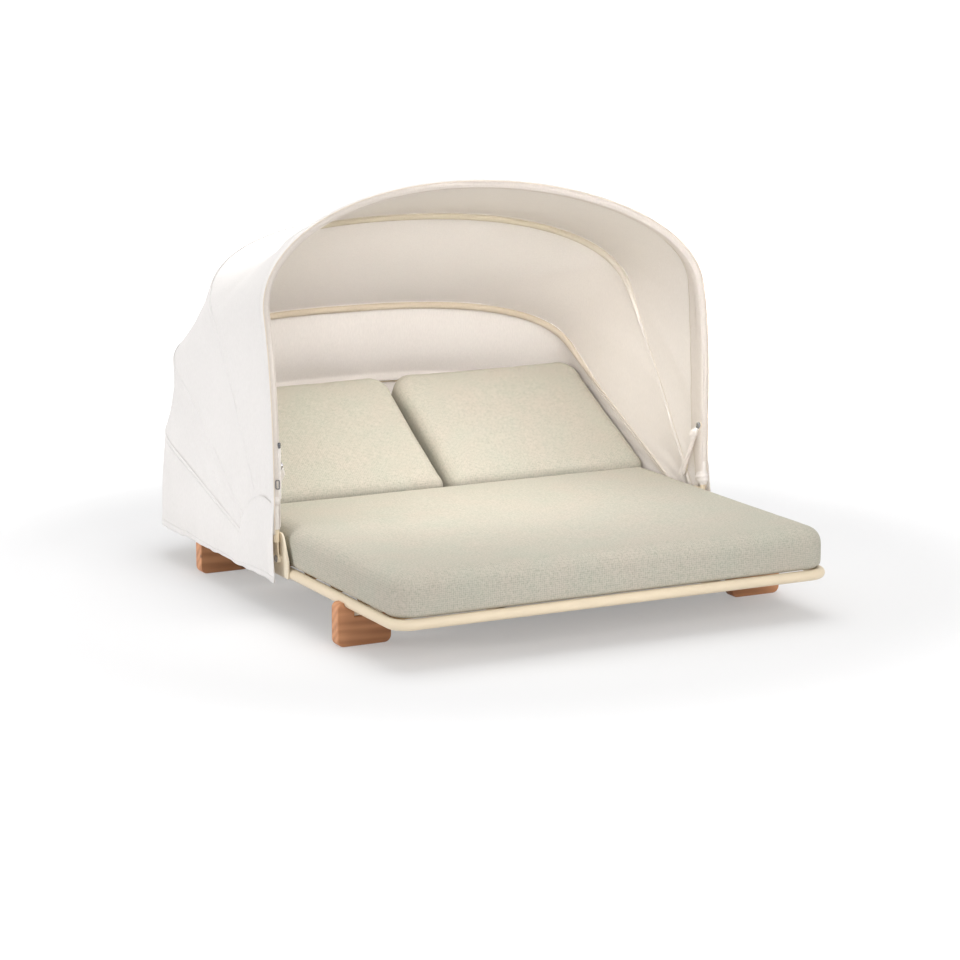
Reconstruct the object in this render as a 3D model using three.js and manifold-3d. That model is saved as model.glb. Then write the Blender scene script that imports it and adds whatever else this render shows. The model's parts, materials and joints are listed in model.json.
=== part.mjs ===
import * as THREE from 'three';
import { mergeVertices } from 'three/addons/utils/BufferGeometryUtils.js';
import Module from 'manifold-3d';

const wasm = await Module();
wasm.setup();

// Outdoor daybed: a tube frame on four wooden legs, a mattress, two adjustable backs and a folding canopy
// Millimetres. X runs across the bed, Y from the front edge towards the back, Z up from the floor

// Clearances
const seatGap = 0.3;
const runningGap = 0.5;
const turningGap = 0.4;
const cutOverrun = 2;

// Bed frame
const bedWidth = 1700;
const bedDepth = 2040;
const railDiameter = 38;
const railTop = 171;
const railCornerRadius = 78;
const railSides = 12;
const railCornerSteps = 6;

// Wooden legs
const legLength = 200;
const legThickness = 50;
const legOverhang = 26;
const legInset = 388;
const legToeRadius = 25;
const legShoulderRadius = 20;
const legEdgeBevel = 3;

// Beams under the slats
const crossBeamWidth = 40;
const crossBeamHeight = 30;
const stringerWidth = 30;
const stringerInset = 430;
const beamWall = 2.5;
const beamCorner = 4;

// Seat slats
const slatCount = 6;
const slatWidth = 90;
const slatThickness = 12;
const slatPitch = 218;
const firstSlatInset = 115;

// Mattress
const mattressThickness = 150;
const mattressSideInset = 9;
const mattressFrontInset = 6;
const mattressTopRound = 55;
const mattressBottomRound = 36;
const mattressCorner = 80;
const mattressCrown = 7;
const mattressWaist = 5;
const mattressRest = 0.5;
const mattressBackGap = 18;

// Adjustable backs, in the plane of each back: up from the hinge, and out from the back's frame
const backAngle = 31;
const backHingeInset = 1343;
const backHingeHeight = 185;
const backFrameTube = 22;
const backSideInset = 60;
const backGap = 60;
const backFrameLength = 640;
const backFrameCorner = 50;
const backSlatCount = 3;
const backSlatWidth = 80;
const backSlatThickness = 10;
const backSlatFirst = 120;
const backSlatPitch = 190;
const backSlatLap = 4;
const backCushionLap = 20;
const backCushionLength = 640;
const backCushionThickness = 130;
const backCushionFoot = 11;
const backCushionTopRound = 45;
const backCushionBottomRound = 30;
const backCushionCorner = 85;
const backCushionCrown = 9;
const backCushionWaist = 4;

// Hinge ears on the hinge beam
const earThickness = 8;
const earRadius = 18;
const earFootWidth = 34;
const earInset = 85;

// Props that hold the backs up, and the notched bars that carry their feet
const propTube = 14;
const propLength = 285;
const propReach = 330;
const propDrop = 22;
const propArmInset = 30;
const propBend = 15;
const propLugThickness = 6;
const propLugRadius = 12;
const propFootHeight = 157;
const propStubOverrun = 4;
const rackThickness = 8;
const rackInset = 120;
const rackNotches = 8;
const rackNotchPitch = 32;
const rackNotchRadius = 6;
const rackFirstNotch = 340;

// Canopy hinge
const pivotInset = 915;
const pivotHeight = 200;
const pivotPin = 12;
const pivotHead = 26;
const pivotHeadThickness = 4;
const pivotHeadRimShare = 0.6;
const sidePlateThickness = 6;
const sidePlateFront = 70;
const sidePlateBack = 62;
const sidePlateTop = 293;
const sidePlateDrop = 14;
const sidePlateRound = 32;
const sidePlateTurn = 0.8;
const lugThickness = 4;
const lugEyeRadius = 15;
const lugLap = 18;

// Canopy bows: start of the tube, angle above the bed, drop behind the hinge, reach of the crown and of the shoulder,
// spread of the sides beyond the feet, roundness of the shoulder (2 is an ellipse), and how far the crown rakes back
const bowTube = 22;
const bowSides = 10;
const bowLegSteps = 8;
const bowShoulderSteps = 11;
const flatCrownShare = 0.9;
const frontBow = {
  start: 60, angle: 90, drop: 0, reach: 1240, shoulder: 852, spread: 6, roundness: 2.04, rake: 304, rakePower: 4.5,
};
const middleBow = {
  start: 86, angle: 58.5, drop: 24, reach: 1352, shoulder: 942, spread: -9, roundness: 2.25, rake: 150, rakePower: 4,
};
const backBow = {
  start: 60, angle: 31, drop: 48, reach: 1442, shoulder: 1060, spread: -40, roundness: 2.6, rake: 55, rakePower: 3,
};
const fixedBow = {
  start: 300, angle: 17.5, drop: 48, reach: 1375, shoulder: 930, spread: 4, roundness: 2.6, rake: 15, rakePower: 3,
};
const fixedBowPlateRadius = 17;

// Cloth
const clothThickness = 2;
const clothLift = 2;
const panelSteps = 4;
const panelSag = 18;
const fullSagShare = 0.62;
const sideSagShares = [0.25, 0.7];
const seamHalfGap = 0.7;
const sleeveWall = 1.7;
const sleeveSkippedSteps = 2;
const frontSeamTurn = 52;
const backSeamTurn = 8;
const hemHeight = 120;
const hemStandOff = 18;
const hemBackInset = 14;
const hemCorner = 115;
const hemFront = 884;
const coverRadius = 190;
const skirtSteps = 5;
const skirtSeamTurn = 35;
const skirtFoldDepth = 9;
const skirtFoldPitch = 4;
const coverSteps = 6;

// Struts between the front and the middle bow
const strutTube = 14;
const strutFoot = 170;
const strutHead = 330;
const strutTongue = 5;
const strutEyeRadius = 10;
const strutPin = 10;
const strutTongueLength = 34;
const knobDiameter = 22;
const knobThickness = 8;
const knobSides = 8;
const knobRimShare = 0.7;
const knobFaceShare = 0.77;

// Colours
const creamMetal = { color: 0xe6d8bb, roughness: 0.45, metalness: 0.35 };
const steel = { color: 0xc9ccce, roughness: 0.25, metalness: 0.95 };
const redwood = { color: 0xa8623f, roughness: 0.55, metalness: 0 };
const paleWood = { color: 0xc79a6b, roughness: 0.6, metalness: 0 };
const whiteCloth = { color: 0xf4f1ea, roughness: 0.85, metalness: 0 };
const sageCloth = { color: 0xc9c9ae, roughness: 0.9, metalness: 0 };

// Sizes that follow
const railRadius = railDiameter / 2;
const railHeight = railTop - railRadius;
const railHalf = bedWidth / 2 - railRadius;
const railInner = bedWidth / 2 - railDiameter;
const slatTop = railTop - mattressRest;
const slatUnderside = slatTop - slatThickness;
const stringerTop = slatUnderside - seatGap;
const stringerHeight = stringerTop - railHeight + railRadius + seatGap;
const stringerUnderside = stringerTop - stringerHeight;
const crossBeamTop = stringerUnderside - seatGap;
const crossBeamUnderside = crossBeamTop - crossBeamHeight;
const stringerSpread = bedWidth - 2 * stringerInset;
const mattressHalfWidth = bedWidth / 2 - mattressSideInset;
const hingeBeamFront = backHingeInset - stringerWidth / 2;
const hingeBeamBack = backHingeInset + stringerWidth / 2;
const backTilt = THREE.MathUtils.degToRad(backAngle);
const backFrameWidth = bedWidth / 2 - backSideInset - backGap / 2;
const backSpacing = backFrameWidth + backGap;
const backFrameRadius = backFrameTube / 2;
const backSlatTop = backFrameRadius + seatGap + backSlatThickness;
const backCushionWidth = backFrameWidth + 2 * backCushionLap;
const backCushionUnderside = backSlatTop + mattressRest;
const earSpread = backFrameWidth - 2 * earInset;
const propArmSpread = backFrameWidth - 2 * propArmInset;
const rackSpread = propArmSpread - 2 * rackInset;
const bowRadius = bowTube / 2;
const plateInner = bedWidth / 2 + seatGap;
const plateOuter = plateInner + sidePlateThickness;
const bowFootHalfWidth = plateOuter + seatGap + bowRadius + turningGap;
const hemHalfWidth = bowFootHalfWidth + hemStandOff;
const pivot = new THREE.Vector2(pivotInset, pivotHeight);

const model = new THREE.Group();
const bed = new THREE.Group();
model.add(bed);

// Adds one named piece in its finish
function addPiece(parent, name, geometry, finish) {
  const mesh = new THREE.Mesh(geometry, new THREE.MeshStandardMaterial(finish));
  mesh.name = name;
  parent.add(mesh);
  return mesh;
}

// A curve that visits a list of stations at even steps, so bends get more steps than straights
class StationCurve extends THREE.Curve {
  constructor(stations, closed = false) {
    super();
    this.stations = stations;
    this.closed = closed;
    this.spans = closed ? stations.length : stations.length - 1;
  }

  station(index) {
    const count = this.stations.length;
    return this.stations[this.closed ? ((index % count) + count) % count : Math.min(Math.max(index, 0), count - 1)];
  }

  getPoint(t, target = new THREE.Vector3()) {
    const place = t * this.spans;
    const index = Math.min(Math.floor(place + 1e-9), this.closed ? this.spans : this.spans - 1);
    return target.lerpVectors(this.station(index), this.station(index + 1), Math.max(place - index, 0));
  }

  getPointAt(t, target) {
    return this.getPoint(t, target);
  }

  getTangent(t, target = new THREE.Vector3()) {
    const index = Math.round(t * this.spans);
    const before = this.station(index).clone().sub(this.station(index - 1)).normalize();
    const after = this.station(index + 1).clone().sub(this.station(index)).normalize();
    return target.addVectors(before, after).normalize();
  }

  getTangentAt(t, target) {
    return this.getTangent(t, target);
  }
}

function circleShape(radius, sides) {
  const shape = new THREE.Shape();
  for (let i = 0; i < sides; i++) {
    const angle = (2 * Math.PI * (i + 0.5)) / sides;
    const point = new THREE.Vector2(Math.cos(angle), Math.sin(angle)).multiplyScalar(radius);
    if (i === 0) shape.moveTo(point.x, point.y);
    else shape.lineTo(point.x, point.y);
  }
  shape.closePath();
  return shape;
}

function tubeAlong(stations, radius, sides) {
  const path = new StationCurve(stations);
  const settings = { steps: stations.length - 1, extrudePath: path, bevelEnabled: false };
  return new THREE.ExtrudeGeometry(circleShape(radius, sides), settings);
}

// Keeps only the positions, shared between faces
function bareMesh(geometry) {
  const bare = new THREE.BufferGeometry();
  bare.setAttribute('position', geometry.getAttribute('position'));
  if (geometry.index) bare.setIndex(geometry.index);
  return mergeVertices(bare, 1e-4);
}

function toSolid(geometry) {
  const bare = bareMesh(geometry);
  const vertProperties = new Float32Array(bare.getAttribute('position').array);
  const triVerts = new Uint32Array(bare.index.array);
  return new wasm.Manifold(new wasm.Mesh({ numProp: 3, vertProperties, triVerts }));
}

function fromSolid(solid) {
  const mesh = solid.getMesh();
  const geometry = new THREE.BufferGeometry();
  geometry.setAttribute('position', new THREE.BufferAttribute(mesh.vertProperties, 3));
  geometry.setIndex(new THREE.BufferAttribute(mesh.triVerts, 1));
  return geometry;
}

function joined(geometries) {
  return fromSolid(geometries.map(toSolid).reduce((whole, part) => whole.add(part)));
}

// A rounded rectangle centred on the origin
function roundedRectangle(width, height, radius) {
  const x = width / 2;
  const y = height / 2;
  const shape = new THREE.Shape();
  shape.moveTo(radius - x, -y);
  shape.lineTo(x - radius, -y);
  shape.absarc(x - radius, radius - y, radius, -Math.PI / 2, 0);
  shape.lineTo(x, y - radius);
  shape.absarc(x - radius, y - radius, radius, 0, Math.PI / 2);
  shape.lineTo(radius - x, y);
  shape.absarc(radius - x, y - radius, radius, Math.PI / 2, Math.PI);
  shape.lineTo(-x, radius - y);
  shape.absarc(radius - x, radius - y, radius, Math.PI, 1.5 * Math.PI);
  return shape;
}

// A straight box tube along +Z, open at both ends
function boxTube(width, height, length) {
  const shape = roundedRectangle(width, height, beamCorner);
  const bore = roundedRectangle(width - 2 * beamWall, height - 2 * beamWall, beamCorner - beamWall);
  shape.holes.push(bore);
  return new THREE.ExtrudeGeometry(shape, { depth: length, bevelEnabled: false, curveSegments: 1 });
}

// Stations round a rounded rectangle in the XY plane
function ringStations(width, length, radius, cornerSteps) {
  const stations = [];
  const corners = [[1, -1], [1, 1], [-1, 1], [-1, -1]];
  corners.forEach(([sideX, sideY], corner) => {
    for (let i = 0; i <= cornerSteps; i++) {
      const angle = -Math.PI / 2 + (Math.PI / 2) * (corner + i / cornerSteps);
      const x = sideX * (width / 2 - radius) + radius * Math.cos(angle);
      const y = sideY * (length / 2 - radius) + radius * Math.sin(angle);
      stations.push(new THREE.Vector3(x, y, 0));
    }
  });
  return stations;
}

function ringTube(width, length, cornerRadius, tubeRadius, cornerSteps, sides) {
  const middleRadius = cornerRadius - tubeRadius;
  const stations = ringStations(width - 2 * tubeRadius, length - 2 * tubeRadius, middleRadius, cornerSteps);
  const path = new StationCurve(stations, true);
  return bareMesh(new THREE.TubeGeometry(path, stations.length, tubeRadius, sides, true));
}

// A pad with rounded edges, drawn-in sides and a crown, centred on the origin, its underside at zero
function padGeometry({ width, length, thickness, frontCorner, backCorner, topRound, bottomRound, crown, waist }) {
  const sideSteps = 5;
  const cornerSteps = 4;
  const roundSteps = 4;
  const innerShares = [0.72, 0.4];
  const keptCornerShare = 0.3;

  function outline(inset) {
    const points = [];
    const corners = [[1, -1, frontCorner], [1, 1, backCorner], [-1, 1, backCorner], [-1, -1, frontCorner]];
    corners.forEach(([sideX, sideY, corner], index) => {
      const radius = Math.max(corner - inset, keptCornerShare * corner);
      const centre = new THREE.Vector2(sideX * (width / 2 - inset - radius), sideY * (length / 2 - inset - radius));
      for (let i = 0; i <= cornerSteps; i++) {
        const angle = -Math.PI / 2 + (Math.PI / 2) * (index + i / cornerSteps);
        points.push(new THREE.Vector2(Math.cos(angle), Math.sin(angle)).multiplyScalar(radius).add(centre));
      }
      const [nextX, nextY, nextCorner] = corners[(index + 1) % corners.length];
      const nextRadius = Math.max(nextCorner - inset, keptCornerShare * nextCorner);
      const runsAlongY = nextX === sideX;
      const start = points[points.length - 1];
      const end = runsAlongY
        ? new THREE.Vector2(start.x, nextY * (length / 2 - inset - nextRadius))
        : new THREE.Vector2(nextX * (width / 2 - inset - nextRadius), start.y);
      for (let i = 1; i < sideSteps; i++) {
        const share = i / sideSteps;
        const point = start.clone().lerp(end, share);
        const pull = waist * Math.sin(Math.PI * share);
        point.x -= runsAlongY ? sideX * pull : 0;
        point.y -= runsAlongY ? 0 : sideY * pull;
        points.push(point);
      }
    });
    return points;
  }

  function crownAt(point) {
    const across = Math.min(Math.abs((2 * point.x) / width), 1);
    const along = Math.min(Math.abs((2 * point.y) / length), 1);
    return crown * (1 - across ** 2) * (1 - along ** 2);
  }

  const loops = [];
  innerShares.slice().reverse().forEach((share) => {
    loops.push(outline(bottomRound).map((point) => new THREE.Vector3(point.x * share, point.y * share, 0)));
  });
  for (let i = 0; i <= roundSteps; i++) {
    const angle = (Math.PI / 2) * (i / roundSteps);
    const inset = bottomRound * (1 - Math.sin(angle));
    const height = bottomRound * (1 - Math.cos(angle));
    loops.push(outline(inset).map((point) => new THREE.Vector3(point.x, point.y, height)));
  }
  for (let i = 0; i <= roundSteps; i++) {
    const angle = (Math.PI / 2) * (i / roundSteps);
    const inset = topRound * (1 - Math.cos(angle));
    const height = thickness - crown - topRound * (1 - Math.sin(angle));
    loops.push(outline(inset).map((point) => {
      return new THREE.Vector3(point.x, point.y, height + Math.sin(angle) * crownAt(point));
    }));
  }
  innerShares.forEach((share) => {
    loops.push(outline(topRound).map((point) => {
      const inner = point.clone().multiplyScalar(share);
      return new THREE.Vector3(inner.x, inner.y, thickness - crown + crownAt(inner));
    }));
  });

  const positions = [];
  const index = [];
  loops.flat().forEach((point) => positions.push(point.x, point.y, point.z));
  const around = loops[0].length;
  for (let ring = 0; ring < loops.length - 1; ring++) {
    for (let i = 0; i < around; i++) {
      const next = (i + 1) % around;
      const low = ring * around;
      const high = low + around;
      index.push(low + i, low + next, high + next, low + i, high + next, high + i);
    }
  }
  const bottomCentre = positions.length / 3;
  positions.push(0, 0, 0);
  const topCentre = bottomCentre + 1;
  positions.push(0, 0, thickness);
  const lastRing = (loops.length - 1) * around;
  for (let i = 0; i < around; i++) {
    const next = (i + 1) % around;
    index.push(bottomCentre, next, i);
    index.push(topCentre, lastRing + i, lastRing + next);
  }
  const geometry = new THREE.BufferGeometry();
  geometry.setAttribute('position', new THREE.Float32BufferAttribute(positions, 3));
  geometry.setIndex(index);
  return geometry;
}

// Closes a grid of points into a sheet of even thickness, whose left-hand side faces out
function sheetGeometry(rows, thickness) {
  const rowCount = rows.length;
  const columnCount = rows[0].length;
  const positions = [];
  const index = [];
  const across = new THREE.Vector3();
  const along = new THREE.Vector3();
  const normals = rows.map((row, r) => row.map((point, c) => {
    along.subVectors(row[Math.min(c + 1, columnCount - 1)], row[Math.max(c - 1, 0)]);
    across.subVectors(rows[Math.min(r + 1, rowCount - 1)][c], rows[Math.max(r - 1, 0)][c]);
    return new THREE.Vector3().crossVectors(across, along).normalize();
  }));
  [0.5, -0.5].forEach((half) => {
    rows.forEach((row, r) => row.forEach((point, c) => {
      const lifted = point.clone().addScaledVector(normals[r][c], half * thickness);
      positions.push(lifted.x, lifted.y, lifted.z);
    }));
  });
  const inner = rowCount * columnCount;
  const at = (r, c) => r * columnCount + c;
  for (let r = 0; r < rowCount - 1; r++) {
    for (let c = 0; c < columnCount - 1; c++) {
      index.push(at(r, c), at(r + 1, c), at(r + 1, c + 1), at(r, c), at(r + 1, c + 1), at(r, c + 1));
      index.push(inner + at(r, c), inner + at(r + 1, c + 1), inner + at(r + 1, c));
      index.push(inner + at(r, c), inner + at(r, c + 1), inner + at(r + 1, c + 1));
    }
  }
  const border = [];
  for (let c = 0; c < columnCount - 1; c++) border.push([at(0, c), at(0, c + 1)]);
  for (let r = 0; r < rowCount - 1; r++) border.push([at(r, columnCount - 1), at(r + 1, columnCount - 1)]);
  for (let c = columnCount - 1; c > 0; c--) border.push([at(rowCount - 1, c), at(rowCount - 1, c - 1)]);
  for (let r = rowCount - 1; r > 0; r--) border.push([at(r, 0), at(r - 1, 0)]);
  border.forEach(([from, to]) => {
    index.push(from, to, inner + to, from, inner + to, inner + from);
  });
  const geometry = new THREE.BufferGeometry();
  geometry.setAttribute('position', new THREE.Float32BufferAttribute(positions, 3));
  geometry.setIndex(index);
  return geometry;
}

// A flat link between two eyes, in the XY plane, with a bore in each eye that has one
function linkGeometry(first, second, thickness, arcSteps = 5) {
  const run = new THREE.Vector2().subVectors(second.centre, first.centre);
  const heading = run.angle();
  const spread = Math.acos((first.radius - second.radius) / run.length());
  const shape = new THREE.Shape();
  shape.absarc(first.centre.x, first.centre.y, first.radius, heading + spread, heading - spread + 2 * Math.PI);
  shape.absarc(second.centre.x, second.centre.y, second.radius, heading - spread, heading + spread);
  [first, second].filter((eye) => eye.bore).forEach((eye) => {
    const hole = new THREE.Path();
    hole.absarc(eye.centre.x, eye.centre.y, eye.bore, 0, 2 * Math.PI);
    shape.holes.push(hole);
  });
  return new THREE.ExtrudeGeometry(shape, { depth: thickness, bevelEnabled: false, curveSegments: arcSteps });
}

// Turns a shape drawn with X along the bed and Y up into the side plane, growing towards +X from x
function intoSidePlane(geometry, x) {
  const matrix = new THREE.Matrix4().makeBasis(
    new THREE.Vector3(0, 1, 0), new THREE.Vector3(0, 0, 1), new THREE.Vector3(1, 0, 0));
  return geometry.applyMatrix4(matrix).translate(x, 0, 0);
}

// A side plate of the given thickness whose face nearest the middle of the bed is at inner
function sideLayer(geometry, side, inner, thickness) {
  return intoSidePlane(geometry, side > 0 ? inner : -inner - thickness);
}

const sides = [['left', -1], ['right', 1]];

// Rail: one round tube bent into a rounded rectangle
const rail = ringTube(bedWidth, bedDepth, railCornerRadius, railRadius, railCornerSteps, railSides);
rail.translate(0, bedDepth / 2, railHeight);
addPiece(bed, 'rail', rail, creamMetal);

// Legs: boards with a cradle for the rail and a lower step for the cross beam
const legOuter = bedWidth / 2 + legOverhang;
const legInner = legOuter - legLength;
const cradleRadius = railRadius + seatGap;
const legTop = railHeight - seatGap;
const legStep = crossBeamUnderside - seatGap;

function legShape() {
  const shape = new THREE.Shape();
  const lipHalf = Math.sqrt(cradleRadius ** 2 - seatGap ** 2);
  const lipAngle = Math.asin(-seatGap / cradleRadius);
  shape.moveTo(legInner + legToeRadius, 0);
  shape.lineTo(legOuter - legToeRadius, 0);
  shape.absarc(legOuter - legToeRadius, legToeRadius, legToeRadius, -Math.PI / 2, 0);
  shape.lineTo(legOuter, legTop - legShoulderRadius);
  shape.absarc(legOuter - legShoulderRadius, legTop - legShoulderRadius, legShoulderRadius, 0, Math.PI / 2);
  shape.lineTo(railHalf + lipHalf, legTop);
  shape.absarc(railHalf, railHeight, cradleRadius, lipAngle, -Math.PI / 2, true);
  shape.lineTo(railInner, railHeight - cradleRadius);
  shape.lineTo(railInner, legStep);
  shape.lineTo(legInner + legShoulderRadius, legStep);
  shape.absarc(legInner + legShoulderRadius, legStep - legShoulderRadius, legShoulderRadius, Math.PI / 2, Math.PI);
  shape.lineTo(legInner, legToeRadius);
  shape.absarc(legInner + legToeRadius, legToeRadius, legToeRadius, Math.PI, 1.5 * Math.PI);
  return shape;
}

const legPlaces = [['front', legInset], ['back', bedDepth - legInset - legThickness]];
legPlaces.forEach(([end, inset]) => sides.forEach(([sideName, side]) => {
  const settings = {
    depth: legThickness - 2 * legEdgeBevel, bevelEnabled: true, bevelThickness: legEdgeBevel,
    bevelSize: legEdgeBevel, bevelOffset: -legEdgeBevel, bevelSegments: 1, curveSegments: 3,
  };
  const leg = new THREE.ExtrudeGeometry(legShape(), settings);
  leg.rotateX(Math.PI / 2);
  leg.translate(0, legThickness - legEdgeBevel, 0);
  if (side < 0) leg.rotateZ(Math.PI).translate(0, legThickness, 0);
  leg.translate(0, inset, 0);
  addPiece(bed, `leg_${end}_${sideName}`, leg, redwood);
}));

// Cross beams over the legs, stringers along the bed and the beam that carries the backs' hinges
legPlaces.forEach(([end, inset]) => {
  const length = 2 * (railInner - seatGap);
  const beam = boxTube(crossBeamHeight, crossBeamWidth, length);
  beam.rotateY(Math.PI / 2);
  beam.translate(-length / 2, inset + legThickness / 2, crossBeamTop - crossBeamHeight / 2);
  addPiece(bed, `cross_beam_${end}`, beam, creamMetal);
});

sides.forEach(([sideName, side]) => {
  const length = hingeBeamFront - railDiameter - 2 * seatGap;
  const beam = boxTube(stringerWidth, stringerHeight, length);
  beam.rotateX(-Math.PI / 2);
  beam.translate(side * stringerSpread / 2, railDiameter + seatGap, stringerTop - stringerHeight / 2);
  addPiece(bed, `stringer_${sideName}`, beam, creamMetal);
});

const hingeBeamLength = 2 * (railInner - seatGap);
const hingeBeam = boxTube(stringerHeight, stringerWidth, hingeBeamLength);
hingeBeam.rotateY(Math.PI / 2);
hingeBeam.translate(-hingeBeamLength / 2, backHingeInset, stringerTop - stringerHeight / 2);
addPiece(bed, 'hinge_beam', hingeBeam, creamMetal);

// Seat slats across the stringers
const slatCorner = slatThickness / 3;
const slatLength = 2 * (railInner - railRadius / 4);
for (let i = 0; i < slatCount; i++) {
  const outline = roundedRectangle(slatThickness, slatWidth, slatCorner);
  const slat = new THREE.ExtrudeGeometry(outline, { depth: slatLength, bevelEnabled: false, curveSegments: 1 });
  slat.rotateY(Math.PI / 2);
  slat.translate(-slatLength / 2, firstSlatInset + i * slatPitch, slatTop - slatThickness / 2);
  addPiece(bed, `seat_slat_${i + 1}`, slat, paleWood);
}

// Mattress
const mattressBack = backHingeInset - backCushionThickness * Math.sin(backTilt) - mattressBackGap;
const mattress = padGeometry({
  width: 2 * mattressHalfWidth, length: mattressBack - mattressFrontInset, thickness: mattressThickness,
  frontCorner: mattressCorner, backCorner: mattressCorner, topRound: mattressTopRound,
  bottomRound: mattressBottomRound, crown: mattressCrown, waist: mattressWaist,
});
mattress.translate(0, (mattressFrontInset + mattressBack) / 2, railTop + seatGap);
addPiece(bed, 'mattress', mattress, sageCloth);

// Hinge ears stand on the hinge beam and hold the foot bar of each back
const barBore = backFrameRadius + runningGap;
sides.forEach(([sideName, side]) => [['inner', -1], ['outer', 1]].forEach(([place, offset]) => {
  const shape = new THREE.Shape();
  const base = stringerTop + seatGap;
  shape.moveTo(backHingeInset - earFootWidth / 2, base);
  shape.lineTo(backHingeInset + earFootWidth / 2, base);
  shape.absarc(backHingeInset, backHingeHeight, earRadius, 0, Math.PI);
  const bore = new THREE.Path();
  bore.absarc(backHingeInset, backHingeHeight, barBore, 0, 2 * Math.PI);
  shape.holes.push(bore);
  const ear = new THREE.ExtrudeGeometry(shape, { depth: earThickness, bevelEnabled: false, curveSegments: 6 });
  const centre = side * (backSpacing / 2 + offset * earSpread / 2);
  intoSidePlane(ear, centre - earThickness / 2);
  addPiece(bed, `hinge_ear_${sideName}_${place}`, ear, creamMetal);
}));

// Adjustable backs, drawn flat with the hinge on the X axis and then tilted
const propRadius = propTube / 2;
const propFootY = Math.sqrt(propLength ** 2 - (backHingeHeight + propReach * Math.sin(backTilt)
  - propDrop * Math.cos(backTilt) - propFootHeight) ** 2);
const propHingeY = propReach * Math.cos(backTilt) + propDrop * Math.sin(backTilt);
const propHingeZ = backHingeHeight + propReach * Math.sin(backTilt) - propDrop * Math.cos(backTilt);

sides.forEach(([sideName, side]) => {
  const back = new THREE.Group();
  back.position.set(side * backSpacing / 2, backHingeInset, backHingeHeight);
  back.rotation.x = backTilt;
  bed.add(back);

  const frame = ringTube(backFrameWidth, backFrameLength + backFrameTube, backFrameCorner, backFrameRadius, 4, 10);
  frame.translate(0, backFrameLength / 2, 0);
  const lugEyes = [
    { centre: new THREE.Vector2(propReach, 0), radius: backFrameRadius - beamWall },
    { centre: new THREE.Vector2(propReach, -propDrop), radius: propLugRadius, bore: propRadius + runningGap },
  ];
  const lugs = [-1, 1].map((end) => {
    const lug = linkGeometry(lugEyes[0], lugEyes[1], propLugThickness, 6);
    const middle = end * (backFrameWidth / 2 - backFrameRadius);
    return intoSidePlane(lug, middle - propLugThickness / 2);
  });
  addPiece(back, `back_frame_${sideName}`, joined([frame, ...lugs]), creamMetal);

  for (let i = 0; i < backSlatCount; i++) {
    const outline = roundedRectangle(backSlatThickness, backSlatWidth, backSlatThickness / 3);
    const length = backFrameWidth - backFrameTube + 2 * backSlatLap;
    const slat = new THREE.ExtrudeGeometry(outline, { depth: length, bevelEnabled: false, curveSegments: 1 });
    slat.rotateY(Math.PI / 2);
    slat.translate(-length / 2, backSlatFirst + i * backSlatPitch, backSlatTop - backSlatThickness / 2);
    addPiece(back, `back_slat_${sideName}_${i + 1}`, slat, paleWood);
  }

  const cushion = padGeometry({
    width: backCushionWidth, length: backCushionLength, thickness: backCushionThickness,
    frontCorner: backCushionCorner / 2, backCorner: backCushionCorner, topRound: backCushionTopRound,
    bottomRound: backCushionBottomRound, crown: backCushionCrown, waist: backCushionWaist,
  });
  cushion.translate(0, backCushionFoot + backCushionLength / 2, backCushionUnderside);
  addPiece(back, `back_cushion_${sideName}`, cushion, sageCloth);

  // Prop: a bent bar whose ends turn outwards through the lugs and whose foot lies on the notched bars
  const arm = propArmSpread / 2;
  const stub = backFrameWidth / 2 - backFrameRadius + propLugThickness / 2 + propStubOverrun;
  const corners = [
    new THREE.Vector3(-stub, 0, 0), new THREE.Vector3(-arm, 0, 0), new THREE.Vector3(-arm, propLength, 0),
    new THREE.Vector3(arm, propLength, 0), new THREE.Vector3(arm, 0, 0), new THREE.Vector3(stub, 0, 0),
  ];
  const propBar = tubeAlong(filletedStations(corners, propBend, 3), propRadius, 8);
  propBar.rotateX(-Math.asin((propHingeZ - propFootHeight) / propLength));
  propBar.translate(side * backSpacing / 2, backHingeInset + propHingeY, propHingeZ);
  addPiece(bed, `prop_${sideName}`, propBar, creamMetal);
});

// Stations along straight runs joined by round bends
function filletedStations(corners, radius, bendSteps) {
  const stations = [corners[0]];
  for (let i = 1; i < corners.length - 1; i++) {
    const towardsLast = corners[i - 1].clone().sub(corners[i]).normalize();
    const towardsNext = corners[i + 1].clone().sub(corners[i]).normalize();
    const start = corners[i].clone().addScaledVector(towardsLast, radius);
    const end = corners[i].clone().addScaledVector(towardsNext, radius);
    const bend = new THREE.QuadraticBezierCurve3(start, corners[i], end);
    stations.push(...bend.getPoints(bendSteps));
  }
  stations.push(corners[corners.length - 1]);
  return stations;
}

// Notched bars from the hinge beam to the rail behind
const rackTop = propFootHeight - propRadius - seatGap;
const rackUnderside = crossBeamTop + seatGap;
const rackBack = bedDepth - railRadius - Math.sqrt(railRadius ** 2 - (railHeight - rackTop) ** 2) - seatGap;
sides.forEach(([sideName, side]) => [['inner', -1], ['outer', 1]].forEach(([place, offset]) => {
  const shape = new THREE.Shape();
  const front = hingeBeamBack + seatGap;
  shape.moveTo(front, rackUnderside);
  shape.lineTo(rackBack, rackUnderside);
  shape.lineTo(rackBack, rackTop);
  for (let i = rackNotches - 1; i >= 0; i--) {
    const notch = front + rackFirstNotch + i * rackNotchPitch;
    shape.lineTo(notch + rackNotchRadius, rackTop);
    shape.absarc(notch, rackTop, rackNotchRadius, 0, -Math.PI, true);
  }
  shape.lineTo(front, rackTop);
  const rack = new THREE.ExtrudeGeometry(shape, { depth: rackThickness, bevelEnabled: false, curveSegments: 2 });
  intoSidePlane(rack, side * (backSpacing / 2 + offset * rackSpread / 2) - rackThickness / 2);
  addPiece(bed, `rack_${sideName}_${place}`, rack, creamMetal);
}));

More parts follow.
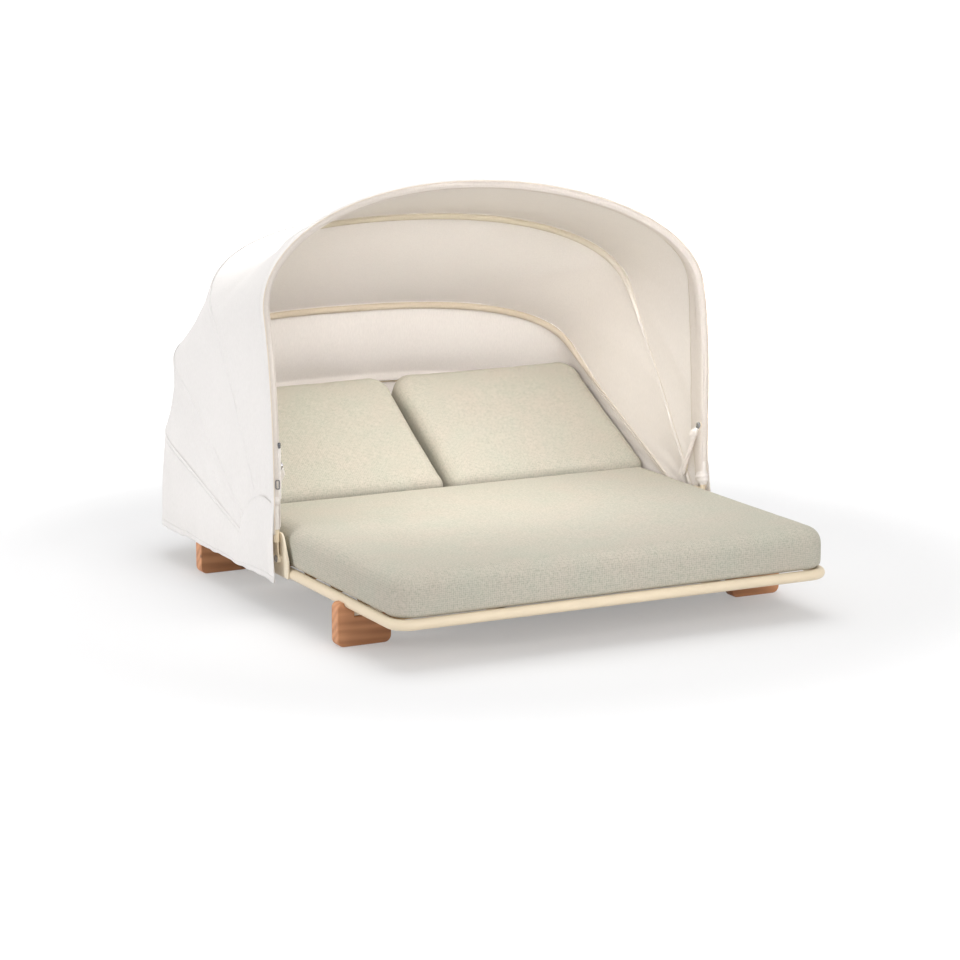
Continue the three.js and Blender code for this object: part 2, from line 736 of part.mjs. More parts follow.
// Side plates beside the rail that carry the canopy's hinge pins
sides.forEach(([sideName, side]) => {
  const low = railHeight - sidePlateDrop;
  const front = pivotInset - sidePlateFront;
  const back = pivotInset + sidePlateBack;
  const shape = new THREE.Shape();
  shape.moveTo(front, low);
  shape.lineTo(back, low);
  shape.lineTo(back, sidePlateTop - sidePlateRound);
  shape.absarc(back - sidePlateRound, sidePlateTop - sidePlateRound, sidePlateRound, 0, Math.PI / 2);
  shape.lineTo(front + 2 * sidePlateRound, sidePlateTop);
  shape.absarc(front + 2 * sidePlateRound, sidePlateTop - sidePlateRound, sidePlateRound, Math.PI / 2, sidePlateTurn * Math.PI);
  shape.lineTo(front, pivotHeight);
  const bore = new THREE.Path();
  bore.absarc(pivotInset, pivotHeight, pivotPin / 2 + turningGap, 0, 2 * Math.PI);
  shape.holes.push(bore);
  const plate = new THREE.ExtrudeGeometry(shape, { depth: sidePlateThickness, bevelEnabled: false, curveSegments: 5 });
  addPiece(bed, `side_plate_${sideName}`, sideLayer(plate, side, plateInner, sidePlateThickness), creamMetal);

  const pinRadius = pivotPin / 2;
  const inner = plateInner - seatGap - pivotHeadThickness;
  const outer = plateOuter + 3 * (lugThickness + seatGap) + 2 * seatGap;
  const profile = [
    [0, inner], [pivotHead / 3, inner], [pivotHead / 3, plateInner - seatGap], [pinRadius, plateInner - seatGap],
    [pinRadius, outer], [pivotHead / 2, outer], [pivotHead / 2, outer + pivotHeadThickness * pivotHeadRimShare],
    [pivotHead / 3, outer + pivotHeadThickness], [0, outer + pivotHeadThickness],
  ].map(([radius, along]) => new THREE.Vector2(radius, along));
  const pin = new THREE.LatheGeometry(profile, 12);
  pin.rotateZ(-side * Math.PI / 2);
  pin.translate(0, pivotInset, pivotHeight);
  addPiece(bed, `pivot_pin_${sideName}`, pin, steel);
});

// A bow's centre line and outward direction at a station on the right-hand half, 0 at the foot and 1 at the crown
function bowFrame(bow, station, side) {
  const angle = THREE.MathUtils.degToRad(bow.angle);
  const along = new THREE.Vector3(0, Math.cos(angle), Math.sin(angle));
  const forward = new THREE.Vector3(0, -Math.sin(angle), Math.cos(angle));
  const legShare = bowLegSteps / (bowLegSteps + bowShoulderSteps);
  const rise = bow.reach - bow.shoulder;
  const halfWidth = bowFootHalfWidth + bow.spread;
  let x;
  let reach;
  if (station <= legShare) {
    const share = station / legShare;
    reach = bow.start + (bow.shoulder - bow.start) * share;
    const lean = THREE.MathUtils.smoothstep(reach, pivotHeight, bow.shoulder);
    x = bowFootHalfWidth + bow.spread * lean;
  } else {
    const turn = (Math.PI / 2) * (station - legShare) / (1 - legShare);
    x = halfWidth * Math.cos(turn) ** (2 / bow.roundness);
    reach = bow.shoulder + rise * Math.sin(turn) ** (2 / bow.roundness);
  }
  const back = bow.drop + bow.rake * (reach / bow.reach) ** bow.rakePower;
  const centre = new THREE.Vector3(side * x, pivotInset, pivotHeight);
  centre.addScaledVector(along, reach).addScaledVector(forward, -back);
  return { centre, along, forward };
}

// Stations from the left foot over the crown to the right foot
function bowStations(bow) {
  const count = bowLegSteps + bowShoulderSteps;
  const frames = [];
  for (let i = 0; i <= count; i++) frames.push(bowFrame(bow, i / count, -1));
  for (let i = count - 1; i >= 0; i--) frames.push(bowFrame(bow, i / count, 1));
  return frames;
}

// Points beside a bow's centre line: out by the radius, turned about the tube by turn degrees towards the back
function besideBow(bow, radius, turn) {
  const frames = bowStations(bow);
  const lean = THREE.MathUtils.degToRad(turn);
  return frames.map((frame, i) => {
    const before = frames[Math.max(i - 1, 0)].centre;
    const after = frames[Math.min(i + 1, frames.length - 1)].centre;
    const tangent = after.clone().sub(before).normalize();
    const outward = new THREE.Vector3().crossVectors(frame.forward, tangent).normalize();
    const backward = new THREE.Vector3().crossVectors(outward, tangent).normalize();
    if (backward.dot(frame.forward) > 0) backward.negate();
    const onCrown = Math.abs(outward.x) < flatCrownShare;
    if (onCrown && outward.dot(frame.along) < 0) outward.negate();
    return frame.centre.clone()
      .addScaledVector(outward, radius * Math.cos(lean))
      .addScaledVector(backward, radius * Math.sin(lean));
  });
}

function bowLug(bow, layer, side) {
  const angle = THREE.MathUtils.degToRad(bow.angle);
  const turned = (reach, back) => new THREE.Vector2(reach, -back).rotateAround(new THREE.Vector2(), angle).add(pivot);
  const eye = { centre: turned(0, 0), radius: lugEyeRadius, bore: pivotPin / 2 + turningGap };
  const end = { centre: turned(bow.start + lugLap, bow.drop), radius: bowRadius };
  const inner = plateOuter + seatGap + layer * (lugThickness + seatGap);
  return sideLayer(linkGeometry(eye, end, lugThickness), side, inner, lugThickness);
}

function bowTubeGeometry(bow) {
  return tubeAlong(bowStations(bow).map((frame) => frame.centre), bowRadius, bowSides);
}

const movingBows = [['bow_back', backBow], ['bow_middle', middleBow], ['bow_front', frontBow]];
movingBows.forEach(([name, bow], layer) => {
  const lugs = sides.map(([, side]) => bowLug(bow, layer, side));
  addPiece(bed, name, joined([bowTubeGeometry(bow), ...lugs]), creamMetal);
});

// The lowest bow stays put on two plates beside the rail
addPiece(bed, 'bow_fixed', bowTubeGeometry(fixedBow), creamMetal);
sides.forEach(([sideName, side]) => {
  const foot = bowFrame(fixedBow, 0, side).centre;
  const eyes = [
    { centre: new THREE.Vector2(foot.y - fixedBowPlateRadius, railHeight), radius: fixedBowPlateRadius },
    { centre: new THREE.Vector2(foot.y + fixedBowPlateRadius, foot.z), radius: fixedBowPlateRadius },
  ];
  const plate = linkGeometry(eyes[0], eyes[1], sidePlateThickness);
  addPiece(bed, `bow_plate_${sideName}`, sideLayer(plate, side, plateInner, sidePlateThickness), creamMetal);
});

// Sleeve over the front bow
const sleeveInner = (bowRadius + seatGap) / Math.cos(Math.PI / bowSides);
const sleeveOuter = sleeveInner + sleeveWall;
const sleeveFrames = bowStations(frontBow).slice(sleeveSkippedSteps, -sleeveSkippedSteps);
const sleeveShape = circleShape(sleeveOuter, bowSides);
sleeveShape.holes.push(circleShape(sleeveInner, bowSides));
const sleevePath = new StationCurve(sleeveFrames.map((frame) => frame.centre));
const sleeveSettings = { steps: sleeveFrames.length - 1, extrudePath: sleevePath, bevelEnabled: false };
addPiece(bed, 'canopy_sleeve', new THREE.ExtrudeGeometry(sleeveShape, sleeveSettings), whiteCloth);

// A panel of cloth between two edges, drawn in a little between them
function panelRows(frontEdge, backEdge, steps, sag) {
  const rows = [];
  for (let r = 0; r <= steps; r++) {
    const row = frontEdge.map((point, i) => {
      const end = backEdge[i];
      const length = point.distanceTo(end);
      const trim = seamHalfGap / length;
      const share = trim + (1 - 2 * trim) * (r / steps);
      const cloth = point.clone().lerp(end, share);
      const middle = (frontEdge.length - 1) / 2;
      const height = 1 - Math.abs(i - middle) / middle;
      const inward = new THREE.Vector3(-cloth.x, 0, 0).setLength(1);
      const towardsPivot = new THREE.Vector3(0, pivotInset - cloth.y, pivotHeight - cloth.z).normalize();
      const pull = sag * Math.sin(Math.PI * share) * Math.sin((Math.PI / 2) * Math.min(height / fullSagShare, 1));
      const direction = inward.lerp(towardsPivot, THREE.MathUtils.smoothstep(height, ...sideSagShares)).normalize();
      return cloth.addScaledVector(direction, pull);
    });
    rows.push(row);
  }
  return rows;
}

const overBow = bowRadius + clothLift + clothThickness / 2;
const overSleeve = sleeveOuter + seatGap + clothThickness / 2;
const frontEdge = besideBow(frontBow, overSleeve, frontSeamTurn);
const middleEdge = besideBow(middleBow, overBow, 0);
const backEdge = besideBow(backBow, overBow, backSeamTurn);
const fixedEdge = besideBow({ ...fixedBow, start: backBow.start }, overBow, 0);
const panels = [
  ['canopy_front_panel', frontEdge, middleEdge], ['canopy_middle_panel', middleEdge, backEdge],
  ['canopy_back_panel', backEdge, fixedEdge],
];
panels.forEach(([name, from, to]) => {
  addPiece(bed, name, sheetGeometry(panelRows(from, to, panelSteps, panelSag), clothThickness), whiteCloth);
});

// Skirt: from the lowest bow down past the rail, and forward over the hinge
function skirtTop() {
  const underBow = bowRadius + seatGap + clothThickness / 2;
  const seam = besideBow(fixedBow, underBow, skirtSeamTurn);
  const coverEnd = new THREE.Vector2(seam[0].y, seam[0].z).sub(pivot);
  const coverTurn = THREE.MathUtils.degToRad(frontBow.angle);
  const cover = (side) => {
    const points = [];
    for (let i = 0; i <= coverSteps; i++) {
      const share = i / coverSteps;
      const angle = coverTurn + (coverEnd.angle() - coverTurn) * share;
      const radius = coverRadius + (coverEnd.length() - coverRadius) * share;
      const point = new THREE.Vector2(Math.cos(angle), Math.sin(angle)).multiplyScalar(radius).add(pivot);
      points.push(new THREE.Vector3(side * hemHalfWidth, point.x, point.y));
    }
    return points;
  };
  return [...cover(-1), ...seam.slice(1, -1), ...cover(1).reverse()];
}

function hemLine() {
  const back = bedDepth + hemBackInset;
  const corners = [
    new THREE.Vector3(-hemHalfWidth, hemFront, hemHeight), new THREE.Vector3(-hemHalfWidth, back, hemHeight),
    new THREE.Vector3(hemHalfWidth, back, hemHeight), new THREE.Vector3(hemHalfWidth, hemFront, hemHeight),
  ];
  const path = new THREE.CatmullRomCurve3(filletedStations(corners, hemCorner, 6), false, 'centripetal');
  path.arcLengthDivisions = 400;
  return path;
}

const skirtUpper = skirtTop();
const hem = hemLine();
const hemLength = hem.getLength();
const upperLengths = [0];
for (let i = 1; i < skirtUpper.length; i++) {
  upperLengths.push(upperLengths[i - 1] + skirtUpper[i].distanceTo(skirtUpper[i - 1]));
}
const upperLength = upperLengths[upperLengths.length - 1];
const hemShares = upperLengths.map((length) => length / upperLength);
const skirtLower = hemShares.map((share) => hem.getPointAt(share));
const skirtOutward = hemShares.map((share) => {
  const tangent = hem.getTangentAt(share);
  return new THREE.Vector3(-tangent.y, tangent.x, 0);
});
const skirtRows = [];
for (let r = 0; r <= skirtSteps; r++) {
  skirtRows.push(skirtUpper.map((point, i) => {
    const trim = seamHalfGap / point.distanceTo(skirtLower[i]);
    const share = trim + (1 - trim) * (r / skirtSteps);
    const fold = Math.sin((Math.PI * i) / skirtFoldPitch) ** 2 * Math.sin((Math.PI / 2) * (r / skirtSteps));
    return point.clone().lerp(skirtLower[i], share).addScaledVector(skirtOutward[i], skirtFoldDepth * fold);
  }));
}
addPiece(bed, 'canopy_skirt', sheetGeometry(skirtRows, clothThickness), whiteCloth);

// Struts inside the bows, pinned to the middle bow and screwed to the front bow's leg
function innerFace(bow, reach, radius) {
  const lean = THREE.MathUtils.smoothstep(reach, pivotHeight, bow.shoulder);
  return bowFootHalfWidth + bow.spread * lean - radius - turningGap;
}

const footFace = innerFace(middleBow, strutFoot, bowRadius);
const headFace = innerFace(frontBow, strutHead, sleeveOuter);
const strutOuter = Math.min(footFace, headFace);
sides.forEach(([sideName, side]) => {
  const middleAngle = THREE.MathUtils.degToRad(middleBow.angle);
  const foot = new THREE.Vector2(strutFoot, -middleBow.drop).rotateAround(new THREE.Vector2(), middleAngle).add(pivot);
  const headRake = frontBow.rake * (strutHead / frontBow.reach) ** frontBow.rakePower;
  const head = new THREE.Vector2(pivotInset + headRake, pivotHeight + strutHead);
  const run = head.clone().sub(foot);
  const heading = run.clone().normalize();
  const footTongue = foot.clone().addScaledVector(heading, strutTongueLength);
  const headTongue = head.clone().addScaledVector(heading, -strutTongueLength);
  const bore = strutPin / 2 + turningGap;
  const inner = strutOuter - strutTongue;
  const footLink = linkGeometry(
    { centre: foot, radius: strutEyeRadius, bore }, { centre: footTongue, radius: strutTube / 2 }, strutTongue);
  const headLink = linkGeometry(
    { centre: head, radius: strutEyeRadius, bore }, { centre: headTongue, radius: strutTube / 2 }, strutTongue);
  const tubeX = side * (strutOuter - strutTube / 2);
  const stations = [foot.clone().addScaledVector(heading, strutEyeRadius + cutOverrun), head.clone()
    .addScaledVector(heading, -strutEyeRadius - cutOverrun)].map((end) => new THREE.Vector3(tubeX, end.x, end.y));
  const tube = tubeAlong(stations, strutTube / 2, 10);
  const links = [footLink, headLink].map((link) => sideLayer(link, side, inner, strutTongue));
  addPiece(bed, `strut_${sideName}`, joined([tube, ...links]), creamMetal);

  [['foot', foot, footFace], ['head', head, headFace]].forEach(([end, centre, face]) => {
    const knobInner = inner - seatGap;
    const profile = [
      [0, knobInner - knobThickness], [knobFaceShare * knobDiameter / 2, knobInner - knobThickness],
      [knobDiameter / 2, knobInner - knobRimShare * knobThickness], [knobDiameter / 2, knobInner],
      [strutPin / 2, knobInner], [strutPin / 2, face], [0, face],
    ].map(([radius, along]) => new THREE.Vector2(radius, along));
    const knob = new THREE.LatheGeometry(profile, knobSides);
    knob.rotateZ(-side * Math.PI / 2);
    knob.translate(0, centre.x, centre.y);
    addPiece(bed, `strut_knob_${end}_${sideName}`, knob, steel);
  });
});

// The origin lies on the floor in the middle of the whole outline
const outline = new THREE.Box3().setFromObject(model);
bed.position.y = -(outline.min.y + outline.max.y) / 2;

export default model;
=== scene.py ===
import json
import math

import bmesh
import bpy
import numpy as np
from mathutils import Euler, Matrix, Vector


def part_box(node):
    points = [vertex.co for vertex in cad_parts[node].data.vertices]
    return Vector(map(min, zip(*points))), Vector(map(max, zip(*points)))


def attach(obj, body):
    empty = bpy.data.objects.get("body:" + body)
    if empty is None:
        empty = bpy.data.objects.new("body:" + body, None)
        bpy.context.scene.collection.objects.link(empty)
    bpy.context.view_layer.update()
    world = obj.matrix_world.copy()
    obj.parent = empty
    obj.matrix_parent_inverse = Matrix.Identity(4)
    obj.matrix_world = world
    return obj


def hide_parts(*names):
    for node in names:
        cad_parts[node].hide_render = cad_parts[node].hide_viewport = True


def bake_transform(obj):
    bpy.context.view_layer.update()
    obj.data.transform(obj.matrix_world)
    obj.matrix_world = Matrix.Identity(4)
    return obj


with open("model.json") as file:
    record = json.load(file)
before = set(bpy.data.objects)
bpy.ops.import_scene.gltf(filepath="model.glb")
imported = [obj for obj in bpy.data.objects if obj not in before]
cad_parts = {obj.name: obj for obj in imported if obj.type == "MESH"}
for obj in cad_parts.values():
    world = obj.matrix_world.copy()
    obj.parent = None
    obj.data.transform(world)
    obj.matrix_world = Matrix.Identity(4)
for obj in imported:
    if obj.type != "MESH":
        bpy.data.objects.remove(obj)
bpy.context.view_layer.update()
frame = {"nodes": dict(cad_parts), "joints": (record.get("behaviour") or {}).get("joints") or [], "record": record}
cadNodes = frame["nodes"]
hinges = {joint["name"]: Vector(joint["pos_m"]) for joint in frame["joints"]}
pivot = np.array(hinges["canopy_middle_bow"])       # the canopy's hinge
bedFront = pivot[1] - 0.915                         # the front of the rail
scene = bpy.context.scene
print("frame loaded:", len(cadNodes), "nodes")


def linkObject(name, data):
    made = bpy.data.objects.new(name, data)
    scene.collection.objects.link(made)
    return made


def meshFrom(name, points, faces, smooth=True):
    mesh = bpy.data.meshes.new(name)
    mesh.from_pydata([tuple(p) for p in points], [], faces)
    mesh.validate()
    bm = bmesh.new()
    bm.from_mesh(mesh)
    bmesh.ops.recalc_face_normals(bm, faces=bm.faces)
    bm.to_mesh(mesh)
    bm.free()
    if smooth:
        smoothFaces(mesh)
    return mesh


def smoothFaces(mesh):
    mesh.polygons.foreach_set("use_smooth", [True] * len(mesh.polygons))


def smoothStep(x, low, high):
    t = np.clip((np.asarray(x, float) - low) / (high - low), 0, 1)
    return t * t * (3 - 2 * t)


def bell(x, middle, wide):
    return np.exp(-((x - middle) / wide) ** 2)


def unit(vectors):
    return vectors / np.linalg.norm(vectors, axis=-1, keepdims=True)


def distanceAlong(line):  # from a line's first point to each point
    return np.concatenate([[0], np.cumsum(np.linalg.norm(np.diff(line, axis=0), axis=1))])


def ringAngles(sides):
    return np.linspace(0, 2 * math.pi, sides, endpoint=False)


def applyAll(piece):  # bakes the modifiers into the mesh
    depsgraph = bpy.context.evaluated_depsgraph_get()
    baked = bpy.data.meshes.new_from_object(piece.evaluated_get(depsgraph))
    old = piece.data
    piece.modifiers.clear()
    piece.data = baked
    bpy.data.meshes.remove(old)


def ripple(seed, count, lowFrequency, highFrequency):  # a fixed sum of sines: soft noise along a line
    random = np.random.default_rng(seed)
    waves = []
    for _ in range(count):
        frequency = random.uniform(lowFrequency, highFrequency)
        waves.append((frequency, random.uniform(0, 2 * math.pi), random.uniform(0.5, 1)))
    total = sum(w[2] for w in waves)
    return lambda x: sum(a * np.sin(f * np.asarray(x, float) + p) for f, p, a in waves) / total


view = {
    "place": (-5.0622, -8.8185 + bedFront, 2.6454),
    "turn": 27.16,       # degrees towards +X
    "tilt": 11.57,       # degrees down
    "lens": 116.30,
    "sensor": 36,
}

cameraData = bpy.data.cameras.new("camera")
cameraData.lens = view["lens"]
cameraData.sensor_width = view["sensor"]
camera = linkObject("camera", cameraData)
camera.location = view["place"]
camera.rotation_euler = Euler((math.radians(90 - view["tilt"]), 0, -math.radians(view["turn"])))
scene.camera = camera
scene.view_settings.view_transform = "Standard"

stageLook = {
    "floorSize": 160,
    "floorColour": (0.80, 0.80, 0.81, 1),
    "floorRoughness": 0.9,
    "seenColour": (0.55, 0.55, 0.555, 1),   # what the camera sees of the floor's own shade
    "nearLift": 0.30,           # white that the camera sees over it beside the bed
    "farLift": 0.85,            # and well away from it
    "liftFrom": 1.6,            # metres from the middle of the bed where it starts to grow
    "liftTo": 3.3,
    "skyColour": (1, 1, 1, 1),
    "skyStrength": 0.56,
    "seenSky": 1,
}

lamps = {
    "topLamp": {"place": (0.6, 1.2, 7.0), "aim": (0, 0, 0.3), "size": 5.5, "spread": 180, "power": 250,
                "colour": (1.0, 0.99, 0.975)},
    "frontLamp": {"place": (0.5, -8.0, 4.0), "aim": (0, 0, 0.4), "size": 4.0, "spread": 180, "power": 240,
                  "colour": (1.0, 0.99, 0.985)},
    "outerLamp": {"place": (-5.5, 1.0, 1.6), "aim": (-0.9, 0.2, 0.5), "size": 1.5, "spread": 60,
                  "power": 13.0, "colour": (1.0, 0.995, 0.99)},
    "crossLamp": {"place": (-3.6, -5.2, 2.0), "aim": (0.82, 0.1, 0.80), "size": 0.8, "spread": 20,
                  "power": 3.0, "colour": (1.0, 0.97, 0.94)},
    "insideLamp": {"place": (-1.2, -6.0, 0.9), "aim": (0.1, 0.35, 1.0), "size": 1.0, "spread": 14,
                   "power": 0.9, "colour": (1.0, 0.99, 0.97)},
    "underLamp": {"place": (-0.15, -0.02, 1.22), "aim": (-0.15, 0.36, 0.3), "size": 1.2, "spread": 140,
                  "power": 8.2, "colour": (1.0, 0.98, 0.95)},
}

for lampName, lamp in lamps.items():
    light = bpy.data.lights.new(lampName, "AREA")
    light.size = lamp["size"]
    light.energy = lamp["power"]
    light.color = lamp["colour"]
    light.spread = math.radians(lamp["spread"])
    holder = linkObject(lampName, light)
    holder.location = lamp["place"]
    holder.rotation_euler = (Vector(lamp["aim"]) - Vector(lamp["place"])).to_track_quat("-Z", "Y").to_euler()
    holder.visible_camera = False


def grey(level):
    return (level, level, level)


class Nodes:  # a node tree and short ways to add to it
    def __init__(self, tree):
        self.tree = tree

    def feed(self, socket, value):
        if isinstance(value, bpy.types.NodeSocket):
            self.tree.links.new(value, socket)
        else:
            socket.default_value = value

    def add(self, kind, inputs=None, **settings):
        node = self.tree.nodes.new(kind)
        for key, value in settings.items():
            setattr(node, key, value)
        for key, value in (inputs or {}).items():
            self.feed(node.inputs[key], value)
        return node

    def math(self, operation, first, second=0.0):
        return self.add("ShaderNodeMath", {0: first, 1: second}, operation=operation).outputs[0]

    def seen(self):  # 1 for what the camera sees straight on, mirrored or through glass
        rays = self.add("ShaderNodeLightPath").outputs
        straight = self.math("MAXIMUM", rays["Is Camera Ray"], rays["Is Glossy Ray"])
        return self.math("MAXIMUM", straight, rays["Is Transmission Ray"])


class Look(Nodes):  # one material
    def __init__(self, name):
        self.material = bpy.data.materials.new(name)
        self.material.use_nodes = True
        super().__init__(self.material.node_tree)
        self.shader = self.tree.nodes["Principled BSDF"]
        self.surface = self.tree.nodes["Material Output"].inputs["Surface"]
        source = self.add("ShaderNodeTexCoord")
        self.place, self.normal = source.outputs["Object"], source.outputs["Normal"]

    def noise(self, scale, detail=3.0, roughness=0.5, place=None):
        inputs = {"Vector": place or self.place, "Scale": scale, "Detail": detail, "Roughness": roughness}
        return self.add("ShaderNodeTexNoise", inputs).outputs["Fac"]

    def moved(self, scale=(1, 1, 1), turn=(0, 0, 0)):
        inputs = {"Vector": self.place, "Scale": scale, "Rotation": turn}
        return self.add("ShaderNodeMapping", inputs).outputs["Vector"]

    def ramp(self, value, *stops):
        node = self.add("ShaderNodeValToRGB", {"Fac": value})
        band = node.color_ramp
        while len(band.elements) < len(stops):
            band.elements.new(0.5)
        for element, (position, colour) in zip(band.elements, stops):
            element.position = position
            element.color = (*colour, 1)
        return node.outputs["Color"]

    def mix(self, share, first, second, blend="MIX"):
        node = self.add("ShaderNodeMix", data_type="RGBA", blend_type=blend)
        for socket, value in zip((node.inputs[0], node.inputs[6], node.inputs[7]), (share, first, second)):
            self.feed(socket, (*value, 1) if isinstance(value, tuple) and len(value) == 3 else value)
        return node.outputs[2]

    def plain(self, values):  # what is the same all over the surface
        for name, value in values.items():
            self.shader.inputs[name].default_value = value

    def colour(self, socket):
        self.feed(self.shader.inputs["Base Color"], socket)

    def roughness(self, pattern, low, high):
        self.feed(self.shader.inputs["Roughness"], self.ramp(pattern, (0.3, grey(low)), (0.7, grey(high))))

    def bump(self, height, distance, strength=1.0):
        node = self.add("ShaderNodeBump", {"Height": height, "Distance": distance, "Strength": strength})
        self.feed(self.shader.inputs["Normal"], node.outputs["Normal"])

    def weave(self, pitch, tilt=0.0):  # a diamond lattice on each side of a piece, in that side's plane
        turn = (-math.radians(tilt), 0, 0)
        if tilt:
            scaled = self.add("ShaderNodeVectorMath", {0: self.moved(turn=turn), 3: 2 * math.pi / pitch},
                              operation="SCALE")
            place = scaled.outputs[0]
        else:
            place = self.moved([2 * math.pi / pitch] * 3, turn)
        parts = self.add("ShaderNodeSeparateXYZ", {0: place})
        waves = [self.math("COSINE", parts.outputs[axis]) for axis in range(3)]
        facing = self.add("ShaderNodeMapping", {"Vector": self.normal, "Rotation": turn},
                          vector_type="VECTOR")
        sides = self.add("ShaderNodeSeparateXYZ", {0: facing.outputs[0]})
        total = None
        for axis in range(3):
            face = self.math("POWER", self.math("ABSOLUTE", sides.outputs[axis]), 4.0)
            pattern = self.math("ADD", waves[(axis + 1) % 3], waves[(axis + 2) % 3])
            part = self.math("MULTIPLY", face, pattern)
            total = part if total is None else self.math("ADD", total, part)
        return total

    def threads(self, tone, slubs):  # uneven threads over a tone
        self.colour(self.mix(1.0, tone, self.ramp(slubs, (0.3, grey(0.93)), (0.7, grey(1))), "MULTIPLY"))


cushionCloth = {
    "pitch": 0.0072,                  # of the diamond weave
    "weave": 0.06,                    # how much of it shows in the yarn
    "melange": 150,                   # scale of the mixed yarns
    "patches": 5.5,                   # scale of the broad changes of tone
    "toneShare": 0.42,
    "light": (0.505, 0.46, 0.385),
    "pale": (0.585, 0.55, 0.48),
    "dark": (0.30, 0.312, 0.25),
    "warm": (0.475, 0.43, 0.365),
    "cool": (0.415, 0.43, 0.36),
    "depth": 0.0011,
}


def makeCushionCloth(name, tilt):
    cloth = cushionCloth
    look = Look(name)
    place = look.moved(turn=(-math.radians(tilt), 0, 0))
    weave = look.weave(cloth["pitch"], tilt)
    melange = look.noise(cloth["melange"], 4, 0.74, place)
    patches = look.noise(cloth["patches"], 3, 0.55, place)
    yarn = look.math("ADD", look.math("MULTIPLY", weave, cloth["weave"]), melange)
    fine = look.ramp(yarn, (0.34, cloth["dark"]), (0.52, cloth["light"]), (0.70, cloth["pale"]))
    tone = look.ramp(patches, (0.34, cloth["cool"]), (0.66, cloth["warm"]))
    look.colour(look.mix(cloth["toneShare"], fine, tone))
    look.plain({"Roughness": 0.92, "Specular IOR Level": 0.18, "Sheen Weight": 0.12, "Sheen Roughness": 0.5,
                "Sheen Tint": (0.95, 0.93, 0.84, 1)})
    look.bump(yarn, cloth["depth"], 0.8)
    return look.material


canopyCloth = {"pitch": 0.0016, "glow": 0.22, "slubs": 260, "depth": 0.00025, "roughness": 0.86,
               "specular": 0.22}


def makeCanopyCloth(name, base, shade):
    look = Look(name)
    weave = look.weave(canopyCloth["pitch"])
    slubs = look.noise(canopyCloth["slubs"], 2, 0.5, look.moved(scale=(1, 1, 0.25)))
    clouds = look.noise(3.2, 4, 0.55)
    look.threads(look.ramp(clouds, (0.3, shade), (0.66, base)), slubs)
    look.plain({"Roughness": canopyCloth["roughness"], "Specular IOR Level": canopyCloth["specular"],
                "Sheen Weight": 0.08})
    height = look.math("ADD", look.math("MULTIPLY", weave, 0.3), slubs)
    look.bump(height, canopyCloth["depth"], 0.6)
    through = look.add("ShaderNodeBsdfTranslucent", {"Color": (*base, 1)})      # daylight through the cloth
    layers = {0: canopyCloth["glow"], 1: look.shader.outputs[0], 2: through.outputs[0]}
    both = look.add("ShaderNodeMixShader", layers)
    look.feed(look.surface, both.outputs[0])
    return look.material


def makeRidgeCloth(name, low, high, grows):  # the pocket turns from pale to tan up towards the crown: partly the tan bow through the cloth, partly painted shade against the lamp light on the crown
    look = Look(name)
    height = look.add("ShaderNodeSeparateXYZ", {0: look.place}).outputs[2]
    slubs = look.noise(canopyCloth["slubs"], 2, 0.5)
    share = look.add("ShaderNodeMapRange", {"Value": height, "From Min": grows[0], "From Max": grows[1]})
    look.threads(look.ramp(share.outputs["Result"], (0.0, low), (1.0, high)), slubs)
    look.plain({"Roughness": canopyCloth["roughness"], "Specular IOR Level": canopyCloth["specular"]})
    look.bump(slubs, canopyCloth["depth"], 0.6)
    return look.material


def makePowderCoat(name, base, paleEdge):
    look = Look(name)
    peel = look.noise(650, 2, 0.5)
    clouds = look.noise(4, 3, 0.5)
    tone = look.ramp(clouds, (0.35, tuple(0.95 * c for c in base)), (0.65, base))
    # paler cream mixed onto the convex edges, where Pointiness is high
    edges = look.add("ShaderNodeNewGeometry").outputs["Pointiness"]
    edgeShare = look.ramp(edges, (0.53, grey(0)), (0.60, grey(1)))
    look.colour(look.mix(look.math("MULTIPLY", edgeShare, 0.5), tone, paleEdge))
    look.roughness(clouds, 0.40, 0.50)
    look.bump(peel, 0.00012, 0.5)
    return look.material


def makeWood(name, pale, mid, deep, knots=True):  # its grain runs along x
    look = Look(name)
    stretch = (2.2, 34, 34)
    bend = look.noise(1.0, 4, 0.55, look.moved(scale=stretch))
    ringInputs = {"Vector": look.moved(scale=[s * 0.09 for s in stretch]), "Scale": 5.5, "Distortion": 2.4,
                  "Detail": 3.0, "Detail Scale": 1.3}
    rings = look.add("ShaderNodeTexWave", ringInputs, bands_direction="DIAGONAL").outputs["Fac"]
    grain = look.math("ADD", look.math("MULTIPLY", rings, 0.30), look.math("MULTIPLY", bend, 0.80))
    tone = look.ramp(grain, (0.22, deep), (0.50, mid), (0.80, pale))
    if knots:
        spots = look.add("ShaderNodeTexVoronoi", {"Vector": look.moved(scale=(4.2, 4.2, 5.5)), "Scale": 2.2})
        knot = look.ramp(spots.outputs["Distance"], (0.03, grey(0.28)), (0.11, grey(1)))
        tone = look.mix(0.8, tone, knot, "MULTIPLY")
    look.colour(tone)
    look.roughness(bend, 0.48, 0.62)
    look.bump(grain, 0.0004, 0.5)
    return look.material


def makeSteel(name, low, high):
    look = Look(name)
    brushed = look.noise(120, 2, 0.5, look.moved(scale=(1, 1, 14)))
    look.colour(look.ramp(brushed, (0.3, low), (0.7, high)))
    look.plain({"Metallic": 1})
    look.roughness(brushed, 0.16, 0.28)
    look.bump(brushed, 0.00005, 0.4)
    return look.material


